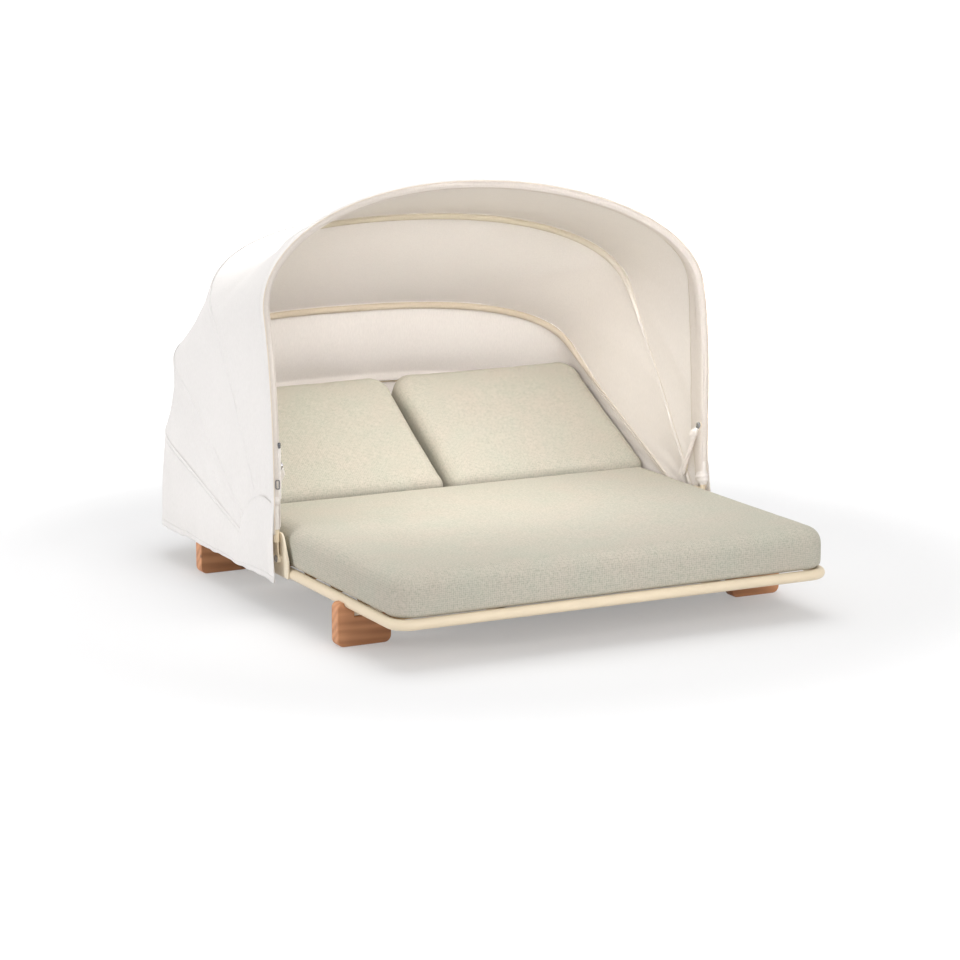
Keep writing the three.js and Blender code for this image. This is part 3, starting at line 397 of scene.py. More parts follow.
looks = {
    "cushionFlat": makeCushionCloth("sageMelangeFlat", 0),
    "cushionTilted": makeCushionCloth("sageMelangeTilted", 31),
    "canopyOutside": makeCanopyCloth("canopyOutside", (0.95, 0.93, 0.915), (0.93, 0.91, 0.895)),
    # the inside copy of the canopy cloth is the same cloth made warmer and darker: painted warm shade for the
    # light inside the canopy
    "canopyInsidePaintedShade": makeCanopyCloth("canopyInsidePaintedShade", (0.95, 0.905, 0.862), (0.93, 0.885, 0.842)),
    # both pocket cloths darken to tan with height, partly as painted shade where the lamps fall on the crowns
    "ridgeTan": makeRidgeCloth("ridgeTan", (0.84, 0.80, 0.76), (0.60, 0.53, 0.41), (0.85, 1.20)),
    "ridgePale": makeRidgeCloth("ridgePale", (0.80, 0.74, 0.67), (0.62, 0.53, 0.41), (0.45, 0.80)),
    "pocketCloth": makeCanopyCloth("pocketCloth", (0.90, 0.82, 0.72), (0.87, 0.79, 0.69)),
    "bandCloth": makeCanopyCloth("bandCloth", (0.86, 0.80, 0.745), (0.84, 0.78, 0.725)),
    "creamCoat": makePowderCoat("creamCoat", (0.80, 0.68, 0.50), (0.87, 0.80, 0.66)),
    "legWood": makeWood("legWood", (0.68, 0.33, 0.165), (0.56, 0.255, 0.12), (0.41, 0.17, 0.075)),
    "slatWood": makeWood("slatWood", (0.62, 0.42, 0.24), (0.54, 0.34, 0.18), (0.40, 0.24, 0.12), knots=False),
    "steel": makeSteel("brightSteel", (0.36, 0.36, 0.38), (0.50, 0.50, 0.52)),
    # steel darkened by painted shade, so that the chrome ring, clip and strut cap stay dark though they mirror
    # white surroundings
    "paintedShadeSteel": makeSteel("shadedSteel", (0.10, 0.10, 0.11), (0.20, 0.20, 0.21)),
    "stitch": makeCanopyCloth("stitchThread", (0.80, 0.74, 0.64), (0.76, 0.70, 0.60)),
}
print("materials made:", len(looks))


def dress(piece, *names):
    if piece.data.materials:
        piece.data.materials.clear()
    for name in names:
        piece.data.materials.append(looks[name])


def finishPiece(piece, names, body=None, node=None):
    dress(piece, *names)
    if body:
        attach(piece, body)
    if node:
        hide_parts(node)


def makeFloor():
    half = stageLook["floorSize"] / 2
    points = [(-half, -half, 0), (half, -half, 0), (half, half, 0), (-half, half, 0)]
    floor = linkObject("floor", meshFrom("floor", points, [(0, 1, 2, 3)], smooth=False))
    look = Look("paleFloor")
    look.plain({"Roughness": stageLook["floorRoughness"]})
    seen = look.seen()
    look.colour(look.mix(seen, stageLook["floorColour"], stageLook["seenColour"]))
    away = look.add("ShaderNodeVectorMath", {0: look.place}, operation="LENGTH").outputs["Value"]
    reach = {"Value": away, "From Min": stageLook["liftFrom"], "From Max": stageLook["liftTo"],
             "To Min": stageLook["nearLift"], "To Max": stageLook["farLift"]}
    grown = look.add("ShaderNodeMapRange", reach, interpolation_type="SMOOTHSTEP").outputs["Result"]
    glow = {"Color": (1, 1, 1, 1), "Strength": look.math("MULTIPLY", seen, grown)}
    lift = look.add("ShaderNodeEmission", glow)
    added = look.add("ShaderNodeAddShader", {0: look.shader.outputs[0], 1: lift.outputs[0]})
    look.feed(look.surface, added.outputs[0])
    floor.data.materials.append(look.material)


def makeSky():
    world = bpy.data.worlds.new("sky")
    scene.world = world
    world.use_nodes = True
    sky = Nodes(world.node_tree)
    soft = world.node_tree.nodes["Background"]
    soft.inputs["Color"].default_value = stageLook["skyColour"]
    soft.inputs["Strength"].default_value = stageLook["skyStrength"]
    white = sky.add("ShaderNodeBackground", {"Strength": stageLook["seenSky"]})
    mix = sky.add("ShaderNodeMixShader", {0: sky.seen(), 1: soft.outputs[0], 2: white.outputs[0]})
    sky.feed(world.node_tree.nodes["World Output"].inputs["Surface"], mix.outputs[0])


makeFloor()
makeSky()
print("stage set")


bowFootHalfWidth = 0.868
bowRadius = 0.011
legShare = 8 / 19            # the leg's part of each half of a bow

bows = {
    "front": {"start": 0.060, "angle": 90, "drop": 0, "reach": 1.240, "shoulder": 0.852,
              "halfWidth": 0.874, "roundness": 2.04, "rake": 0.304, "power": 4.5},
    "middle": {"start": 0.086, "angle": 58.5, "drop": 0.024, "reach": 1.352, "shoulder": 0.942,
               "halfWidth": 0.859, "roundness": 2.25, "rake": 0.150, "power": 4},
    "back": {"start": 0.060, "angle": 31, "drop": 0.048, "reach": 1.442, "shoulder": 1.060,
             "halfWidth": 0.828, "roundness": 2.6, "rake": 0.055, "power": 3},
    "fixed": {"start": 0.060, "angle": 17.5, "drop": 0.048, "reach": 1.375, "shoulder": 0.930,
              "halfWidth": 0.872, "roundness": 2.6, "rake": 0.015, "power": 3},
}


def bowAxes(bow):
    angle = math.radians(bow["angle"])
    return np.array([0, math.cos(angle), math.sin(angle)]), np.array([0, -math.sin(angle), math.cos(angle)])


def legX(bow, reach):
    return bowFootHalfWidth + (bow["halfWidth"] - bowFootHalfWidth) * smoothStep(reach, 0.2, bow["shoulder"])


def bowLine(bow, stations):  # centre line from the left foot (-1) over the crown (0) to the right foot (1)
    along, forward = bowAxes(bow)
    share = 1 - np.abs(stations)                # 0 at a foot, 1 at the crown
    side = np.sign(stations)
    side[side == 0] = 1
    legPart = np.clip(share / legShare, 0, 1)
    legReach = bow["start"] + (bow["shoulder"] - bow["start"]) * legPart
    turn = (math.pi / 2) * np.clip((share - legShare) / (1 - legShare), 0, 1)
    topX = bow["halfWidth"] * np.clip(np.cos(turn), 0, 1) ** (2 / bow["roundness"])
    topReach = bow["shoulder"] + (bow["reach"] - bow["shoulder"]) * np.sin(turn) ** (2 / bow["roundness"])
    onLeg = share <= legShare
    x = np.where(onLeg, legX(bow, legReach), topX)
    reach = np.where(onLeg, legReach, topReach)
    behind = bow["drop"] + bow["rake"] * (reach / bow["reach"]) ** bow["power"]
    line = pivot + np.outer(reach, along) - np.outer(behind, forward)
    line[:, 0] = side * x
    return line


def evenStations(bow, count, end=1.0):  # stations a like distance apart along the bow
    fine = np.linspace(-end, end, 4001)
    length = distanceAlong(bowLine(bow, fine))
    return np.interp(np.linspace(0, length[-1], count), length, fine)


def besideLine(bow, stations):  # centre line with the directions out of the canopy and towards its back
    line = bowLine(bow, stations)
    forward = bowAxes(bow)[1]
    step = 1e-3
    ahead = bowLine(bow, np.clip(stations + step, -1, 1))
    astern = bowLine(bow, np.clip(stations - step, -1, 1))
    tangent = unit(ahead - astern)
    outward = unit(np.cross(tangent, np.broadcast_to(-forward, tangent.shape)))
    middle = pivot + 0.5 * bowAxes(bow)[0]
    outward *= np.sign(np.einsum("ij,ij->i", outward, line - middle))[:, None]
    backward = unit(np.cross(outward, tangent))
    backward *= np.sign(backward @ -forward)[:, None]
    return line, outward, backward


def besideBow(bow, stations, radius, turn):  # turn in degrees round the bow, from outside towards the back
    line, outward, backward = besideLine(bow, stations)
    lean = math.radians(turn)
    radius = np.reshape(radius, (-1, 1))
    return line + outward * radius * math.cos(lean) + backward * radius * math.sin(lean)


def sheetMesh(name, grid, thickness, outside):  # two skins and a rim; the outer skin faces away from that point
    grid = np.asarray(grid, float)
    rows, columns = grid.shape[:2]
    normal = np.cross(np.gradient(grid, axis=0), np.gradient(grid, axis=1))
    normal /= np.maximum(np.linalg.norm(normal, axis=2), 1e-12)[:, :, None]
    if np.sum(normal * (grid - np.asarray(outside))) < 0:
        normal = -normal
    outer = grid + normal * thickness / 2
    inner = grid - normal * thickness / 2
    points = np.concatenate([outer.reshape(-1, 3), inner.reshape(-1, 3)])
    skin = rows * columns
    index = np.arange(skin).reshape(rows, columns)
    faces, slots = [], []
    for layer in (0, 1):
        corners = (index[:-1, :-1], index[1:, :-1], index[1:, 1:], index[:-1, 1:])
        quads = np.stack([corner + layer * skin for corner in corners], axis=-1).reshape(-1, 4)
        faces += quads.tolist()
        slots += [layer] * len(quads)
    border = np.concatenate([index[0, :], index[1:, -1], index[-1, -2::-1], index[-2:0:-1, 0]]).tolist()
    for here, after in zip(border, border[1:] + border[:1]):
        faces.append([here, after, after + skin, here + skin])
        slots.append(0)
    mesh = meshFrom(name, points, faces)
    mesh.polygons.foreach_set("material_index", slots)
    return mesh


def gridSize(grid):  # the cut: widest row, longest column, and the area
    width = np.linalg.norm(np.diff(grid, axis=1), axis=2).sum(axis=1).max()
    length = np.linalg.norm(np.diff(grid, axis=0), axis=2).sum(axis=0).max()
    a = np.cross(grid[1:, :-1] - grid[:-1, :-1], grid[:-1, 1:] - grid[:-1, :-1])
    b = np.cross(grid[1:, :-1] - grid[1:, 1:], grid[:-1, 1:] - grid[1:, 1:])
    area = (np.linalg.norm(a, axis=2).sum() + np.linalg.norm(b, axis=2).sum()) / 2
    return float(width), float(length), float(area)


def declareSheet(grid):
    width, length, area = gridSize(grid)
    width, length = round(width, 3), round(length, 3)


canopyMiddle = np.array([0, 0.25, 0.45])


def makeSheet(name, grid, thickness, names, body=None, node=None,
              outside=canopyMiddle):
    grid = np.asarray(grid, float)
    piece = linkObject(name, sheetMesh(name, grid, thickness, outside))
    declareSheet(grid)
    finishPiece(piece, names, body, node)
    return piece


panelCut = {
    "columns": 241,
    "rows": 22,
    "thickness": 0.0016,
    "lift": 0.002,
    "sag": 0.020,
    "sagGrows": 1.6,         # how fast the sag grows up the legs
    "turnFrom": 0.25,        # heights between which the sag turns from inward to down
    "turnTo": 0.7,
    "gather": 0.0016,        # depth of the small gathers beside each bow
    "gatherReach": 0.075,    # how far they run into the panel
    "gatherFade": 2.2,
    "shoulderAt": 0.55,      # where the gathers are deepest
    "shoulderWide": 0.16,
    "shoulderLeast": 0.35,
    "pull": 0.0045,          # depth of the long tension folds
    "pullSlant": 0.9,
    "crownCalm": 0.55,       # how much flatter they are at the crown
}
foldRun = 3.2                # metres of fold pattern for one half of a bow
overBow = bowRadius + panelCut["lift"] + panelCut["thickness"] / 2
sleeveOuter = 0.0142


def panelGrid(frontEdge, backEdge, stations, seed):
    height = 1 - np.abs(stations)
    small = ripple(seed, 9, 120, 330)
    smallToo = ripple(seed + 1, 9, 120, 330)
    long = ripple(seed + 2, 7, 7, 26)
    run = stations * foldRun
    near = panelCut["gatherReach"]
    fade = panelCut["gatherFade"]
    least = panelCut["shoulderLeast"]
    width = np.linalg.norm(backEdge - frontEdge, axis=1)
    turnIn = smoothStep(height, panelCut["turnFrom"], panelCut["turnTo"])[:, None]
    shoulders = least + (1 - least) * bell(height, panelCut["shoulderAt"], panelCut["shoulderWide"])
    grid = []
    for share in np.linspace(0, 1, panelCut["rows"]):
        cloth = frontEdge + (backEdge - frontEdge) * share
        inward = np.zeros_like(cloth)
        inward[:, 0] = -np.sign(stations)
        down = pivot - cloth
        down[:, 0] = 0
        direction = unit(inward * (1 - turnIn) + unit(down) * turnIn)
        arch = math.sin(math.pi * share)
        sag = panelCut["sag"] * arch * np.sin(math.pi / 2 * np.minimum(panelCut["sagGrows"] * height, 1))
        fromFront, fromBack = share * width, (1 - share) * width
        gathers = small(run) * np.exp(-fromFront / near * fade) * smoothStep(fromFront, 0, 0.01)
        gathers += smallToo(run) * np.exp(-fromBack / near * fade) * smoothStep(fromBack, 0, 0.01)
        folds = long(run + panelCut["pullSlant"] * share) * arch ** 0.7 * panelCut["pull"]
        folds *= 1 - panelCut["crownCalm"] * smoothStep(height, 0.62, 0.95)
        grid.append(cloth + direction * (sag + gathers * panelCut["gather"] * shoulders + folds)[:, None])
    return np.array(grid)


panels = [      # from and to: a bow, the distance from its centre line and the turn round it
    {"name": "canopyFrontPanel", "node": "canopy_front_panel", "seed": 11,
     "from": ("front", sleeveOuter + 0.001, 40), "to": ("middle", overBow, 0),
     "bodies": ("canopy_front", "canopy_middle"), "half": 0.17},
    {"name": "canopyMiddlePanel", "node": "canopy_middle_panel", "seed": 23,
     "from": ("middle", overBow, 0), "to": ("back", overBow, 8),
     "bodies": ("canopy_middle", "canopy_back"), "half": 0.17},
    {"name": "canopyBackPanel", "node": "canopy_back_panel", "seed": 37,
     "from": ("back", overBow, 8), "to": ("fixed", overBow, 0),
     "bodies": ("canopy_back", "bed"), "half": 0.10},
]


def panelCloth(panel, stations):
    ends = (panel["from"], panel["to"])
    seams = [besideBow(bows[bow], stations, radius, turn) for bow, radius, turn in ends]
    return panelGrid(*seams, stations, panel["seed"])


def alongCloth(cloth, reach):  # points at a distance from the cloth's first row, measured on the cloth
    steps = np.linalg.norm(np.diff(cloth, axis=0), axis=2)
    length = np.concatenate([np.zeros((1, cloth.shape[1])), np.cumsum(steps, axis=0)])
    return np.array([[np.interp(reach[j], length[:, j], cloth[:, j, k]) for k in range(3)]
                     for j in range(cloth.shape[1])])


def blendPanel(piece):
    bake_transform(piece)


for panel in panels:
    grid = panelCloth(panel, np.linspace(-1, 1, panelCut["columns"]))
    piece = makeSheet(panel["name"], grid, panelCut["thickness"], ("canopyOutside", "canopyInsidePaintedShade"),
                      node=panel["node"])
    blendPanel(piece)
print("canopy panels made:", len(panels))


def tubeMesh(name, line, first, second, radii, closed=False):  # rings round a line; a row of radii for each
    rings, sides = radii.shape
    angle = ringAngles(sides)
    points = (line[:, None, :] + first[:, None, :] * (radii * np.cos(angle))[:, :, None]
              + second[:, None, :] * (radii * np.sin(angle))[:, :, None])
    index = np.arange(rings * sides).reshape(rings, sides)
    if closed:
        index = np.vstack([index, index[:1]])
    nextSide = np.roll(index, -1, axis=1)
    faces = np.stack([index[:-1], index[1:], nextSide[1:], nextSide[:-1]], axis=-1).reshape(-1, 4).tolist()
    if not closed:
        faces.append(index[0].tolist())
        faces.append(index[-1][::-1].tolist())
    return meshFrom(name, points.reshape(-1, 3), faces)


def pipeMesh(name, line, radius, sides, closed=False):  # a plain round pipe along any line
    if closed:
        tangent = np.roll(line, -1, axis=0) - np.roll(line, 1, axis=0)
    else:
        tangent = np.gradient(line, axis=0)
    tangent = unit(tangent)
    first = unit(np.cross(tangent, np.array([0.31, 0.2, 0.93])))
    second = np.cross(tangent, first)
    return tubeMesh(name, line, first, second, np.full((len(line), sides), radius), closed)


def uprightFrame(count):  # directions across and to the back, for a tube that stands upright
    return np.tile([1.0, 0, 0], (count, 1)), np.tile([0, 1.0, 0], (count, 1))


def roundedLoop(halfWide, halfLong, bend, steps):  # a rounded rectangle in its own plane
    points = []
    for index, (sideX, sideY) in enumerate([(1, -1), (1, 1), (-1, 1), (-1, -1)]):
        for i in range(steps + 1):
            angle = -math.pi / 2 + math.pi / 2 * (index + i / steps)
            points.append([sideX * (halfWide - bend) + bend * math.cos(angle),
                           sideY * (halfLong - bend) + bend * math.sin(angle)])
    return np.array(points)


sleeve = {"rings": 900, "sides": 28, "end": 0.93, "radius": sleeveOuter, "gather": 0.0016,
          "flatGather": 0.00035, "gatherAt": 0.52, "gatherWide": 0.10, "endGather": 0.0022, "endReach": 0.09,
          "swell": 0.0005}


def makeFrontSleeve():  # the gathered cloth round the front bow
    stations = evenStations(bows["front"], sleeve["rings"], sleeve["end"])
    line, outward, backward = besideLine(bows["front"], stations)
    length = distanceAlong(line)
    height = 1 - np.abs(stations)
    fine = ripple(5, 8, 190, 520)
    broad = ripple(6, 5, 20, 60)
    angle = ringAngles(sleeve["sides"])
    amount = sleeve["flatGather"] + (sleeve["gather"] - sleeve["flatGather"]) * bell(
        height, sleeve["gatherAt"], sleeve["gatherWide"])
    amount = amount + sleeve["endGather"] * np.exp(-height / sleeve["endReach"])
    slant = length[:, None] + 0.010 * np.sin(angle + 0.7)[None, :]
    slant = slant + 0.006 * np.sin(3 * angle + 2 * length[:, None])
    radii = sleeve["radius"] + amount[:, None] * fine(slant) + sleeve["swell"] * broad(length)[:, None]
    piece = linkObject("frontSleeve", tubeMesh("frontSleeve", line, outward, backward, radii))
    finishPiece(piece, ["bandCloth"], "canopy_front", "canopy_sleeve")


makeFrontSleeve()

liningCut = {
    "columns": 401,
    "inside": 0.0014,        # behind the outer cloth
    "shape": 0.0150,         # how wide the lining stands off round each bow
    "nearRows": 12,
    "farRows": 12,
    "near": 0.030,
    "thickness": 0.0008,
    "depth": {"front": 0.0256, "middle": 0.0130, "back": 0.0130, "fixed": 0.0262},      # under the crowns
    "legFrom": 0.28,
    "legTo": 0.52,
    "legDepth": 0.0252,
    "legSlack": 0.0130,
}


def liningPoints(panel, stations, reach, fromBack=False):  # over the tubes at the crown, flat on the legs
    cloth = panelCloth(panel, stations)
    wide = np.linalg.norm(np.diff(cloth, axis=0), axis=2).sum(axis=0)
    reach = np.clip(wide - reach if fromBack else np.broadcast_to(reach, wide.shape), 0, wide)
    point = alongCloth(cloth, reach)
    crown = sum(liningCut["depth"][panel[end][0]] * np.exp(-(near / liningCut["shape"]) ** 3)
                for end, near in (("from", reach), ("to", wide - reach)))
    leg = 1 - smoothStep(1 - np.abs(stations), liningCut["legFrom"], liningCut["legTo"])
    flat = liningCut["legDepth"] - liningCut["legSlack"] * np.sin(math.pi * reach / wide)
    depth = crown + (flat - crown) * leg
    share = (reach / wide)[:, None]
    fromOut, toOut = (besideLine(bows[panel[end][0]], stations)[1] for end in ("from", "to"))
    outward = unit((1 - share) * fromOut + share * toOut)
    return point - outward * (liningCut["inside"] + depth)[:, None], outward, wide


def makeLining(panel):
    stations = np.linspace(-1, 1, liningCut["columns"])
    wide = liningPoints(panel, stations, 0)[2]
    near = np.minimum(liningCut["near"], 0.35 * wide)
    rows = [near * share for share in np.linspace(0, 1, liningCut["nearRows"])]
    rows += [near + (wide - 2 * near) * share for share in np.linspace(0, 1, liningCut["farRows"])[1:-1]]
    rows += [wide - near * share for share in np.linspace(1, 0, liningCut["nearRows"])]
    grid = [liningPoints(panel, stations, reach)[0] for reach in rows]
    name = panel["name"].replace("Panel", "Lining")
    piece = makeSheet(name, grid, liningCut["thickness"], ["canopyInsidePaintedShade"])
    blendPanel(piece)


for panel in panels:
    makeLining(panel)
print("lining made")

seam = {"radius": 0.0012, "sides": 6, "proud": 0.0008, "hemProud": 0.0010}


def makeSeam(name, line, body=None):
    piece = linkObject(name, pipeMesh(name, line, seam["radius"], seam["sides"]))
    finishPiece(piece, ["stitch"], body)
    return piece


ridges = [
    {"name": "middleRidge", "bow": "middle", "cloth": "ridgeTan", "seed": 61, "panel": 0, "fromBack": True},
    {"name": "backRidge", "bow": "back", "cloth": "ridgePale", "seed": 62, "panel": 2, "fromBack": False},
]
ridgeCut = {"columns": 560, "rows": 15, "end": 0.93, "radius": 0.0136, "turns": (80, 280), "gather": 0.0005,
            "slant": 0.0002, "thickness": 0.0008, "seamAt": 0.0172, "seamEnd": 0.985, "seamColumns": 561}


def makeRidge(ridge):  # the pocket sewn round a bow on the inside, with its seam
    bow = bows[ridge["bow"]]
    body = "canopy_" + ridge["bow"]
    stations = evenStations(bow, ridgeCut["columns"], ridgeCut["end"])
    length = distanceAlong(bowLine(bow, stations))
    fine = ripple(ridge["seed"], 8, 170, 420)
    grid = []
    for turn in np.linspace(*ridgeCut["turns"], ridgeCut["rows"]):
        radius = ridgeCut["radius"] + ridgeCut["gather"] * fine(length + ridgeCut["slant"] * turn)
        grid.append(besideBow(bow, stations, radius, turn))
    makeSheet(ridge["name"], grid, ridgeCut["thickness"], [ridge["cloth"]],
              body=body)
    stations = np.linspace(-ridgeCut["seamEnd"], ridgeCut["seamEnd"], ridgeCut["seamColumns"])
    point, outward, _ = liningPoints(panels[ridge["panel"]], stations, ridgeCut["seamAt"], ridge["fromBack"])
    makeSeam(ridge["name"] + "Stitch", point - outward * seam["proud"], body)


frontHem = {"columns": 420, "rows": 12, "end": 0.985, "startTurn": 44, "endTurn": -48, "radius": 0.0163,
            "wobble": 0.0004, "thickness": 0.0014, "piping": 0.0022, "pipingSides": 8}


def makeFrontHem():
    stations = evenStations(bows["front"], frontHem["columns"], frontHem["end"])
    wobble = frontHem["wobble"] * ripple(83, 8, 60, 180)(stations * foldRun)
    grid = []
    for edge in np.linspace(0, 1, frontHem["rows"]):
        turn = frontHem["startTurn"] + (frontHem["endTurn"] - frontHem["startTurn"]) * edge
        grid.append(besideBow(bows["front"], stations, frontHem["radius"] + edge * wobble, turn))
    makeSheet("frontHem", grid, frontHem["thickness"], ("canopyOutside", "bandCloth"),
              body="canopy_front")
    piping = pipeMesh("frontHemPiping", grid[-1], frontHem["piping"], frontHem["pipingSides"])
    finishPiece(linkObject("frontHemPiping", piping), ["pocketCloth"], "canopy_front")


for ridge in ridges:
    makeRidge(ridge)
makeFrontHem()
print("ridges and front hem made")

innerHem = {
    "columns": 1250,
    "rows": 13,
    "end": 0.972,
    "depth": 0.056,
    "offset": 0.0016,
    "thickness": 0.0012,
    "pleat": 0.0042,
    "pleatAt": 0.53,
    "pleatWide": 0.105,
    "flatPleat": 0.0004,
    "pleatSlant": 0.22,
    "onSleeve": (232, 214, 197, 180),       # turns round the bow where the hem starts on the sleeve
    "overSleeve": 0.0012,
}


def makeInnerHem():  # the doubled cloth inside the front edge, pleated where it turns the shoulders
    stations = evenStations(bows["front"], innerHem["columns"], innerHem["end"])
    wide = liningPoints(panels[0], stations, 0)[2]
    length = distanceAlong(bowLine(bows["front"], stations))
    height = 1 - np.abs(stations)
    pleats = ripple(211, 9, 330, 560)
    amount = innerHem["pleat"] * bell(height, innerHem["pleatAt"], innerHem["pleatWide"])
    amount = innerHem["flatPleat"] + amount
    depth = innerHem["depth"] * np.clip(wide / 0.20, 0.25, 1)
    grid = [besideBow(bows["front"], stations, sleeveOuter + innerHem["overSleeve"], turn)
            for turn in innerHem["onSleeve"]]
    for share in np.linspace(0, 1, innerHem["rows"]):
        reach = share * depth
        rise = 0.35 + 0.65 * math.sin(math.pi * min(1, 0.15 + share))
        push = amount * (0.55 + 0.6 * pleats(length + innerHem["pleatSlant"] * reach)) * rise
        point, outward, _ = liningPoints(panels[0], stations, reach)
        grid.append(point - outward * (innerHem["offset"] + push)[:, None])
    piece = makeSheet("innerHem", grid, innerHem["thickness"], ["bandCloth"])
    stitches = makeSeam("innerHemStitch", grid[-1] - outward * seam["hemProud"])
    blendPanel(piece)
    blendPanel(stitches)


makeInnerHem()
print("inner hem made")

# the width is in degrees round the bow
tapeCut = {"columns": 320, "rows": 9, "end": 0.93, "width": 62, "radius": 0.0153, "thickness": 0.0008}
for bowName, body in (("middle", "canopy_middle"), ("back", "canopy_back"), ("fixed", "bed")):
    stations = evenStations(bows[bowName], tapeCut["columns"], tapeCut["end"])
    grid = [besideBow(bows[bowName], stations, tapeCut["radius"], turn)
            for turn in np.linspace(-tapeCut["width"] / 2, tapeCut["width"] / 2, tapeCut["rows"])]
    makeSheet(bowName + "SeamTape", grid, tapeCut["thickness"], ("canopyOutside", "canopyInsidePaintedShade"),
              body=body)
print("seam tapes made")


skirtCut = {
    "rows": 26,
    "hemHeight": 0.120,
    "hemHalfWidth": 0.886,
    "hemBack": 2.040 + 0.014 + bedFront,
    "hemFront": 0.884 + bedFront,
    "corner": 0.115,
    "seamStart": 0.300,         # how far up the fixed bow the seam begins
    "seamTurn": 30,
    "overSeam": 0.003,
    "coverRadius": 0.190,
    "coverHalfWidth": 0.8822,
    "coverAhead": 0.015,        # in front of the hinge, as far as the front sleeve reaches
    "coverColumns": 30,
    "topColumns": 240,
    "fold": 0.010,
    "belly": 0.006,
    "sway": 0.003,
    "thickness": 0.0016,
    "bandRows": 2.0,            # height of the turned-up hem, in rows of the skirt
    "bandProud": 0.0016,
    "bandThickness": 0.0014,
}
skirtMiddle = np.array([0, 0.2, 0.1])


def hemLine(shares):  # the lower edge round the bed's back, with the directions outward
    x, front, back, r = (skirtCut[key] for key in ("hemHalfWidth", "hemFront", "hemBack", "corner"))
    points = [[-x, y] for y in np.linspace(front, back - r, 60)]
    for angle in np.linspace(math.pi, math.pi / 2, 24)[1:]:
        points.append([-x + r + r * math.cos(angle), back - r + r * math.sin(angle)])
    points += [[px, back] for px in np.linspace(-x + r, x - r, 90)[1:]]
    for angle in np.linspace(math.pi / 2, 0, 24)[1:]:
        points.append([x - r + r * math.cos(angle), back - r + r * math.sin(angle)])
    points += [[x, y] for y in np.linspace(back - r, front, 60)[1:]]
    points = np.array(points)
    length = distanceAlong(points)
    line = np.stack([np.interp(shares * length[-1], length, points[:, i]) for i in (0, 1)], axis=1)
    tangent = unit(np.gradient(line, axis=0))
    outward = np.column_stack([-tangent[:, 1], tangent[:, 0], np.zeros(len(line))])
    return np.column_stack([line, np.full(len(line), skirtCut["hemHeight"])]), outward


def skirtTop():  # up over the left side plate, along the fixed bow and down over the right side plate
    bow = dict(bows["fixed"], start=skirtCut["seamStart"])
    stations = evenStations(bow, skirtCut["topColumns"])
    along = besideBow(bow, stations, bowRadius + skirtCut["overSeam"], skirtCut["seamTurn"])
    end = along[0] - pivot
    endAngle, endRadius = math.atan2(end[2], end[1]), math.hypot(end[1], end[2])
    startAngle = math.pi / 2 + skirtCut["coverAhead"] / skirtCut["coverRadius"]
    coverX, endX = skirtCut["coverHalfWidth"], abs(along[0][0])
    cover = []
    for share in np.linspace(0, 1, skirtCut["coverColumns"]):
        angle = startAngle + (endAngle - startAngle) * share
        radius = skirtCut["coverRadius"] + (endRadius - skirtCut["coverRadius"]) * share
        x = coverX + (endX - coverX) * smoothStep(share, 0.75, 1)
        cover.append([-x, pivot[1] + radius * math.cos(angle), pivot[2] + radius * math.sin(angle)])
    cover = np.array(cover)
    mirror = cover[::-1] * np.array([-1, 1, 1])
    return np.concatenate([cover[:-1], along, mirror[1:]])


def makeSkirt():
    top = skirtTop()
    length = distanceAlong(top)
    share = length / length[-1]
    hem, outward = hemLine(share)
    small = ripple(97, 6, 14, 46)
    broad = ripple(101, 5, 5, 15)
    grid = []
    for down in np.linspace(0, 1, skirtCut["rows"]):
        folds = 0.55 * small(share * 5.2 + 0.12 * down) + 0.75 * broad(share * 5.2)
        folds = skirtCut["fold"] * folds * down ** 0.9
        push = np.maximum(folds, -skirtCut["belly"] * down) + skirtCut["belly"] * math.sin(math.pi * down)
        sway = np.zeros_like(top)
        sway[:, 2] = skirtCut["sway"] * small(share * 9 + 2) * down ** 3
        grid.append(top + (hem - top) * down + outward * push[:, None] + sway)
    grid = np.array(grid)
    outsideIn = ("canopyOutside", "canopyInsidePaintedShade")
    makeSheet("canopySkirt", grid, skirtCut["thickness"], outsideIn, "bed",
              "canopy_skirt", skirtMiddle)
    band = []       # a second layer of cloth along the lower edge
    for up in np.linspace(0, 1, 5):
        place = (skirtCut["rows"] - 1) - up * skirtCut["bandRows"]
        row = int(math.floor(place))
        low, high = grid[row], grid[min(row + 1, skirtCut["rows"] - 1)]
        band.append(low + (high - low) * (place - row) + outward * skirtCut["bandProud"])
    makeSheet("skirtHem", band, skirtCut["bandThickness"], outsideIn, "bed",
              outside=skirtMiddle)


makeSkirt()
print("skirt made")


padSteps = {"corner": 8, "side": 24, "bottom": 8, "top": 10, "inner": 16}
crownPower = 2.4
leastCorner = 0.3               # of a corner's radius, however far an outline is inset


def padOutline(spec, inset):  # a rounded rectangle whose sides pull in between its corners
    width, length = spec["width"] / 2, spec["length"] / 2
    front, back = (max(spec[key] - inset, leastCorner * spec[key]) for key in ("frontCorner", "backCorner"))
    corners = [(1, -1, front), (1, 1, back), (-1, 1, back), (-1, -1, front)]
    points = []
    for index, (sideX, sideY, radius) in enumerate(corners):
        centre = np.array([sideX * (width - inset - radius), sideY * (length - inset - radius)])
        for i in range(padSteps["corner"] + 1):
            angle = -math.pi / 2 + math.pi / 2 * (index + i / padSteps["corner"])
            points.append(centre + radius * np.array([math.cos(angle), math.sin(angle)]))
        nextX, nextY, nextRadius = corners[(index + 1) % 4]
        start = points[-1]
        alongY = nextX == sideX
        stop = (np.array([start[0], nextY * (length - inset - nextRadius)]) if alongY
                else np.array([nextX * (width - inset - nextRadius), start[1]]))
        inward = np.array([sideX, 0]) if alongY else np.array([0, sideY])
        for i in range(1, padSteps["side"]):
            share = i / padSteps["side"]
            points.append(start + (stop - start) * share - inward * spec["waist"] * math.sin(math.pi * share))
    return np.array(points)


